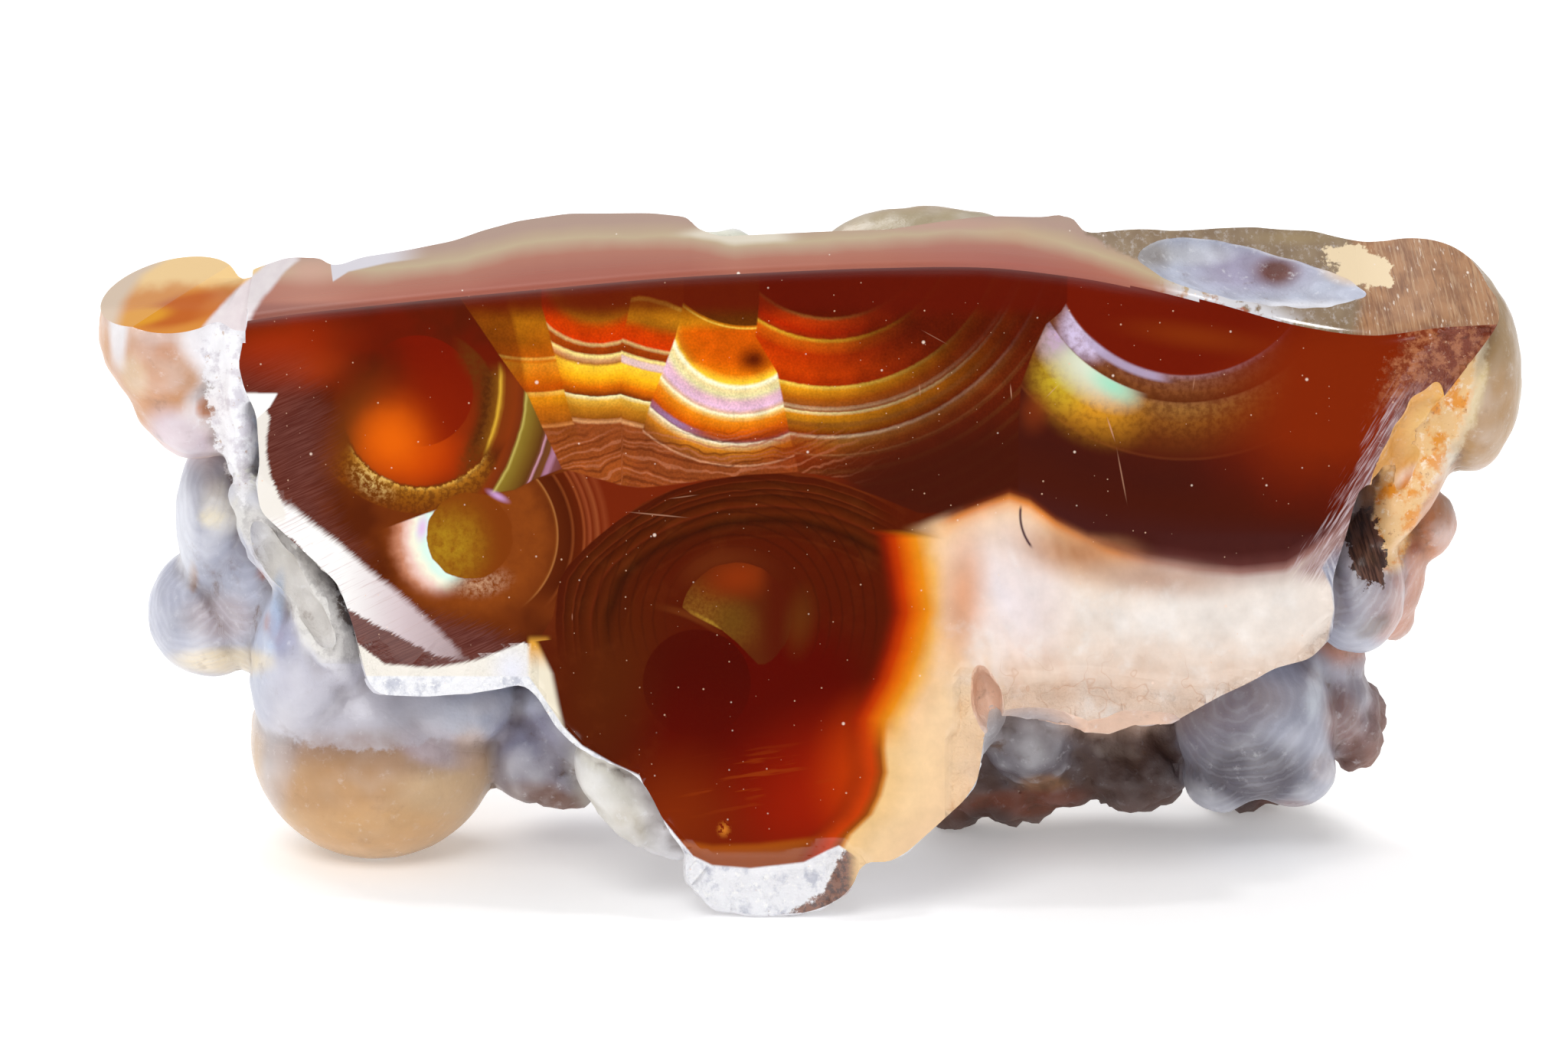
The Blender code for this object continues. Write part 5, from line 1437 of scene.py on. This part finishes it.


# The polished top and the ground slope on the amber lobe. The same agate is seen edge on here: pinkish brown
# along the ridge, with cream growth bands behind it, and the colours hold a painted sheen of the bright light
# that the top reflects. The saw's marks are left on the right.

def top_colour(d):
    soft = d.mottle(70, 2.0)
    back = d.v - d.u.curve([
        (300, 352), (420, 352), (520, 348), (600, 335), (700, 312), (800, 304), (900, 306), (960, 318),
        (1060, 312), (1150, 306), (1250, 300), (1330, 300), (1400, 318), (1460, 340), (1560, 380),
    ]) + (soft - 0.5) * 10.0
    # painted sheen: these pinkish browns are the agate's own colour lightened by the white glare the top
    # reflects
    colour = back.bands([
        (-60, (160, 134, 118)), (-22, (166, 136, 120)), (-8, (176, 150, 122)), (0, (182, 160, 126)),
        (8, (176, 140, 112)), (22, (166, 98, 74)), (48, (154, 76, 54)), (90, (146, 64, 44)),
    ])
    colour = laid(colour, (222, 214, 196), back.rise(4, -6) * d.glow(960, 308, 110, 26).rise(0.0, 0.6)
                  * 0.8)
    colour = d.lit(colour, [
        ((182, 140, 124), (1240, 290, 190, 16), 0.8), ((190, 156, 118), (1340, 306, 90, 20, 6.0), 0.5),
        ((160, 88, 78), (1330, 350, 220, 40, 10.0), 0.6), ((176, 112, 90), (400, 385, 110, 60, -8.0), 0.8),
        ((196, 150, 130), (400, 350, 60, 30), 0.8),
    ])
    wedge_line = [(380, 330), (424, 338), (431, 366), (450, 352), (500, 340), (560, 332), (600, 326)]
    wedge = ~d.under(wedge_line, 2.0)
    colour = laid(colour, (206, 202, 210), wedge * d.u.rise(417, 421) * d.u.rise(560, 490))
    ground_edge = [(1420, 300), (1466, 330), (1520, 352), (1570, 376), (1626, 404), (1680, 424)]
    ground = d.right_of(ground_edge, 8.0, d.waver(14, 26.0))
    earth = laid((112, 88, 64), (150, 130, 104), d.mottle(26, 4.0))
    earth = laid(earth, (190, 182, 178), d.mottle(9, 4.0, 0.7).rise(0.5, 0.75) * 0.6)
    colour = laid(colour, earth, ground)
    sawn = d.right_of([(1772, 300), (1790, 340), (1780, 400), (1760, 470)], 12.0)
    tan = laid((164, 118, 80), (136, 92, 60), d.mottle(30, 4.0).rise(0.35, 0.7))
    tan = laid(tan, (184, 150, 116), d.streaks(82, 46, 3.4, 3.0).rise(0.5, 0.68) * 0.6)
    tan = laid(tan, (112, 70, 44), d.streaks(82, 40, 3.0, 3.0).rise(0.45, 0.3) * 0.6)
    marks = d.streaks(82, 16, 3.6, 3.0).rise(0.60, 0.72) * d.mottle(16, 3.0).rise(0.46, 0.66)
    tan = laid(tan, (222, 206, 190), marks * 0.8)
    colour = laid(colour, tan, sawn)
    burr = [(1500, 396), (1600, 414), (1700, 440), (1780, 444), (1860, 430), (1960, 400)]
    colour = laid(colour, (122, 60, 48), d.under(burr, 6.0) * d.u.rise(1900, 1840) * 0.6)
    shape = d.waver(24, 1.5, 4.0, 0.65)
    rind = d.distance(1622, 356, 172, 54, 7.0) + shape * 0.5
    rind = rind.rise(1.3, 1.12) * d.glow(1560, 410, 230, 60, 12.0).rise(0.0, 0.5)
    colour = laid(colour, (206, 204, 208), rind * d.u.rise(1500, 1560)
                  * d.mottle(16, 4.0, 0.6).rise(0.3, 0.5))
    colour = laid(colour, (224, 202, 166), (d.distance(1786, 346, 42, 30, 20.0) + shape).rise(1.06, 0.92))
    colour = laid(colour, (150, 128, 92), d.glow(1700, 306, 90, 16) * 0.8)
    cloud = d.waver(40, 24.0, 3.0)
    amber = laid((226, 190, 130), (200, 128, 44), (d.v + cloud).rise(356, 384))
    amber = laid(amber, (178, 86, 2), d.glow(236, 402, 96, 32, -16.0).rise(0.0, 0.6))
    amber = laid(amber, (204, 138, 20), d.glow(176, 413, 66, 20, -10.0).rise(0.0, 0.7))
    amber = laid(amber, (190, 110, 40), d.glow(280, 392, 50, 22, -40.0) * 0.8)
    pale_edge = [(200, 330), (170, 352), (152, 390), (148, 430)]
    amber = laid(amber, (200, 178, 156), ~d.right_of(pale_edge, 12.0))
    vein = laid((206, 194, 198), (222, 214, 214), d.mottle(16, 3.0))
    vein_edge = [(380, 336), (364, 352), (342, 385), (328, 416)]
    colour = laid(vein, colour, d.right_of(vein_edge, 5.0, cloud * 0.3))
    amber_edge = [(346, 330), (308, 368), (276, 406), (262, 425), (250, 470)]
    colour = laid(amber, colour, d.right_of(amber_edge, 5.0, cloud * 0.3))
    return laid(colour, (230, 214, 200), d.specks(40.0, 1.6, 0.12))


for material, rough, gloss in ((TOP, 0.12, 0.5), (AMBER, 0.28, 0.15)):
    tree, shader = surface(material)
    drawing = Drawing(tree)
    tree.links.new(top_colour(drawing).socket, shader.inputs["Base Color"])
    by_ridge = drawing.under(RIDGE_DRAWN, 10.0, 16.0) * drawing.u.rise(1600, 1450)
    sawn_part = drawing.u.rise(1760, 1800)
    tree.links.new((by_ridge * 0.4 + sawn_part * 0.3 + rough).socket, shader.inputs["Roughness"])
    shader.inputs["Specular IOR Level"].default_value = gloss


# The finish of the natural skin, as it grew: cloudy chalcedony with frost on its high parts, dirt in its
# hollows and fine growth lines on its bubbles. The dish and the breaks have it too, more or less rough.

DETAIL_HEIGHT = 0.0002
FINISHES = (
    (NATURAL, {"Frost": 0.55, "Dirt": 0.8, "Lines": 1.0}, 0.5),
    (DISH, {"Frost": 0.7, "Dirt": 0.9, "Lines": 0.3}, 0.6),
    (BROKEN, {"Frost": 0.45, "Dirt": 0.6, "Lines": 0.2}, 0.8),
)


def weathering():
    """A group: the tone in, with frost, dirt and growth lines on it out, and a height for the bumps."""
    group = bpy.data.node_groups.new("weathered_skin", "ShaderNodeTree")
    for name in ("Frost", "Dirt", "Lines"):
        group.interface.new_socket(name, in_out="INPUT", socket_type="NodeSocketFloat")
    for name, kind in (("Color", "Color"), ("Height", "Float"), ("Roughness", "Float")):
        group.interface.new_socket(name, in_out="OUTPUT", socket_type="NodeSocket" + kind)
    new, link = group.nodes.new, group.links.new
    entry, leave = new("NodeGroupInput"), new("NodeGroupOutput")
    place = new("ShaderNodeTexCoord")
    tone = new("ShaderNodeVertexColor")
    tone.layer_name = "tone"
    nature = new("ShaderNodeVertexColor")
    nature.layer_name = "nature"
    parts = new("ShaderNodeSeparateColor")
    link(nature.outputs["Color"], parts.inputs["Color"])
    coarse, lined, hollow = (Signal(parts.outputs[name]) for name in ("Red", "Green", "Blue"))

    def cloud(scale, detail=3.0, rough=0.6, twist=0.0):
        node = new("ShaderNodeTexNoise")
        node.inputs["Scale"].default_value = scale
        node.inputs["Detail"].default_value = detail
        node.inputs["Roughness"].default_value = rough
        node.inputs["Distortion"].default_value = twist
        link(place.outputs["Object"], node.inputs["Vector"])
        return Signal(node.outputs["Fac"])

    wanted_lines = Signal(entry.outputs["Lines"])
    broad = cloud(420.0, 4.0)
    fine = cloud(2600.0, 4.0, 0.7)
    colour = dimmed(Signal(tone.outputs["Color"]), broad * 0.55 + 0.74)
    frost = (fine.rise(0.56, 0.78) * Signal(entry.outputs["Frost"]) * ~hollow
             * coarse.curve([(0.0, 0.25), (0.5, 1.0), (1.0, 0.25)])).least(1.0)
    colour = laid(colour, (236, 236, 240), frost)
    dirt = cloud(900.0, 5.0, 0.7).rise(0.56, 0.72) * Signal(entry.outputs["Dirt"])
    dirt = dirt * (hollow * 1.5 + coarse * 0.6 + 0.15).least(1.0)
    colour = laid(colour, (104, 72, 50), dirt)
    growth = new("ShaderNodeAttribute")
    growth.attribute_name = "growth"
    rings = (Signal(growth.outputs["Fac"]) * 15.0 + broad * 22.0).through("SINE")
    lines = rings.rise(0.2, 1.0) * lined * wanted_lines * (broad * 2.0 - 0.4).least(1.0)
    colour = laid(colour, (220, 226, 240), lines * 0.16)
    colour = laid(colour, (122, 128, 156), rings.rise(-0.4, -1.0) * lined * wanted_lines * 0.08)
    link(colour.socket, leave.inputs["Color"])
    height = fine * 0.5 * (coarse + 0.12) + cloud(1200.0, 3.0) * (coarse * 1.2 + 0.1)
    link(height.socket, leave.inputs["Height"])
    link((frost * 0.25 + coarse * 0.4 + 0.22).least(1.0).socket, leave.inputs["Roughness"])
    return group


def skin_details(d, colour, shown):
    """What shows on the skin from the front: the crust, a crack, the bulb's frost and the torn right end."""
    rough = d.mottle(16, 5.0, 0.7)
    fray = rough - 0.5
    crust = (d.distance(300, 520, 36, 130, -6.0) + fray * 1.6).rise(1.05, 0.8)
    white = laid((244, 243, 246), (206, 200, 208), d.mottle(30, 5.0, 0.65).rise(0.48, 0.66))
    white = laid(white, (168, 122, 78), d.mottle(11, 4.0, 0.7).rise(0.64, 0.72) * 0.7)
    colour = laid(colour, white, crust * shown * 0.8)
    line = [(640, 345), (690, 374), (730, 416), (760, 440), (800, 448), (840, 470), (868, 486), (872, 600)]
    gap = d.u - d.v.curve(line) + fray * 26.0
    rind = laid((222, 219, 214), (188, 184, 180), d.mottle(26, 5.0, 0.7).rise(0.45, 0.65))
    rind = laid(rind, (96, 80, 70), gap.rise(-16, -6) * rough.rise(0.42, 0.5))
    colour = laid(colour, rind, gap.rise(-84, -64) * gap.rise(10, 0) * d.v.band(660, 868, 12.0) * shown
                  * 0.85)
    frost_line = [(330, 955), (400, 980), (470, 984), (540, 978), (600, 958), (650, 925)]
    frost = ~d.under(frost_line, 6.0, fray * 36.0)
    frost = frost * d.v.rise(868, 892) * d.u.band(340, 640, 20.0)
    frost = frost * (d.mottle(30, 4.0) * 1.1 + 0.25).least(1.0)
    colour = laid(colour, (200, 198, 208), frost * shown * 0.6)
    torn_left = [(1850, 462), (1838, 520), (1816, 580), (1802, 640), (1798, 700), (1812, 748)]
    torn = d.right_of(torn_left, 3.0, fray * 16.0)
    torn_right = [(1934, 440), (1930, 500), (1914, 560), (1890, 610), (1864, 660), (1838, 760)]
    torn = torn * ~d.right_of(torn_right, 5.0, fray * 26.0) * d.v.band(466, 744, 10.0)
    glass = laid((230, 188, 130), (224, 142, 22), d.mottle(36, 4.0, 0.6).rise(0.46, 0.6))
    glass = laid(glass, (244, 228, 206), rough.rise(0.54, 0.7) * 0.8)
    glass = laid(glass, (158, 88, 30), rough.rise(0.40, 0.28) * 0.7)
    colour = laid(colour, glass, torn * shown * 0.92)
    rim = d.right_of([(1934, 440), (1930, 500), (1914, 560), (1890, 610)], 3.0, fray * 26.0 + 6.0)
    rim = rim * ~d.right_of([(1944, 440), (1940, 500), (1924, 560), (1900, 610)], 5.0, fray * 26.0)
    colour = laid(colour, (222, 206, 176), rim * d.v.band(440, 620, 20.0) * shown * 0.6)
    flake = (d.distance(1790, 716, 25, 54, -14.0) + fray * 1.5).rise(1.02, 0.94)
    dark = laid((104, 72, 60), (60, 40, 36), d.streaks(75, 40, 4.0, 3.0).rise(0.4, 0.6))
    return laid(colour, dark, flake * shown)


skin_group = weathering()
for material, amounts, bump in FINISHES:
    tree, shader = surface(material)
    skin_node = tree.nodes.new("ShaderNodeGroup")
    skin_node.node_tree = skin_group
    for name, amount in amounts.items():
        skin_node.inputs[name].default_value = amount
    colour = Signal(skin_node.outputs["Color"])
    if material == NATURAL:
        faced = tree.nodes.new("ShaderNodeVertexColor")
        faced.layer_name = "tone"
        colour = skin_details(Drawing(tree), colour, Signal(faced.outputs["Alpha"]))
    tree.links.new(colour.socket, shader.inputs["Base Color"])
    tree.links.new(skin_node.outputs["Roughness"], shader.inputs["Roughness"])
    raised = tree.nodes.new("ShaderNodeBump")
    raised.inputs["Strength"].default_value = bump
    raised.inputs["Distance"].default_value = DETAIL_HEIGHT
    tree.links.new(skin_node.outputs["Height"], raised.inputs["Height"])
    tree.links.new(raised.outputs["Normal"], shader.inputs["Normal"])


# The table and the light: a white table, a broad soft light from behind on the left, one from the front
# above, and a world that is bright behind the stone and dark in front of it, so that the polished front stays
# free of glare. The camera looks down on the stone from the front.

TABLE_HALF_WIDTH = 1.5
WHITE = (1.0, 1.0, 1.0, 1.0)
DARK_BEFORE = 0.03
BRIGHT_BEHIND = 0.55
EVEN_LIGHT = 0.56
LENS = 221.5
CAMERA_AWAY = 0.320
CAMERA_AIM = (Vector((0.0, 0.0, AIM_HEIGHT)) + INTO_FRAME) * MM


def soft_light(name, place, aim, size, power):
    light = bpy.data.lights.new(name, "AREA")
    light.shape = "DISK"
    light.size = size
    light.energy = power
    obj = bpy.data.objects.new(name, light)
    obj.location = place
    obj.rotation_euler = (Vector(aim) - Vector(place)).to_track_quat("-Z", "Y").to_euler()
    bpy.context.scene.collection.objects.link(obj)


bm = bmesh.new()
bmesh.ops.create_grid(bm, x_segments=1, y_segments=1, size=TABLE_HALF_WIDTH)
table = mesh_object("table", bm)
table_white = finish("table_white")
tree, shader = surface(table_white)
shader.inputs["Base Color"].default_value = (0.93, 0.93, 0.93, 1.0)
shader.inputs["Roughness"].default_value = 0.9
shader.inputs["Emission Color"].default_value = WHITE
shader.inputs["Emission Strength"].default_value = 0.25
table.data.materials.append(table_white)
soft_light("light_behind", (-0.35, 0.45, 0.75), (0.0, 0.0, 0.01), 0.5, 3.7)
soft_light("light_front", (-0.15, -0.55, 0.60), (0.0, 0.0, 0.01), 0.4, 2.5)
soft_light("light_right", (0.25, -0.09, 0.78), (0.015, 0.0, 0.02), 0.10, 0.8)

world = bpy.data.worlds.new("studio")
world.use_nodes = True
bpy.context.scene.world = world
tree = world.node_tree
tree.nodes.clear()
output = tree.nodes.new("ShaderNodeOutputWorld")
even = tree.nodes.new("ShaderNodeBackground")
even.inputs["Color"].default_value = WHITE
even.inputs["Strength"].default_value = EVEN_LIGHT
shaded = tree.nodes.new("ShaderNodeBackground")
place = tree.nodes.new("ShaderNodeTexCoord")
split = tree.nodes.new("ShaderNodeSeparateXYZ")
fade = tree.nodes.new("ShaderNodeMapRange")
fade.interpolation_type = "SMOOTHSTEP"
fade.inputs["From Min"].default_value = -0.25
fade.inputs["From Max"].default_value = 0.6
fade.inputs["To Min"].default_value = DARK_BEFORE
fade.inputs["To Max"].default_value = BRIGHT_BEHIND
ray = tree.nodes.new("ShaderNodeLightPath")
choose = tree.nodes.new("ShaderNodeMixShader")
tree.links.new(place.outputs["Generated"], split.inputs["Vector"])
tree.links.new(split.outputs["Y"], fade.inputs["Value"])
tree.links.new(fade.outputs["Result"], shaded.inputs["Strength"])
tree.links.new(ray.outputs["Is Glossy Ray"], choose.inputs["Fac"])
tree.links.new(even.outputs["Background"], choose.inputs[1])
tree.links.new(shaded.outputs["Background"], choose.inputs[2])
tree.links.new(choose.outputs["Shader"], output.inputs["Surface"])
bpy.context.scene.view_settings.view_transform = "Standard"

camera = bpy.data.cameras.new("camera")
camera.lens = LENS
camera.sensor_width = 36.0
camera.clip_start = 0.01
camera.clip_end = 5.0
viewer = bpy.data.objects.new("camera", camera)
viewer.location = CAMERA_AIM + CAMERA_AWAY * Vector(outwards)
viewer.rotation_euler = (math.radians(90.0) - VIEW_DROP, 0.0, 0.0)
bpy.context.scene.collection.objects.link(viewer)
bpy.context.scene.camera = viewer
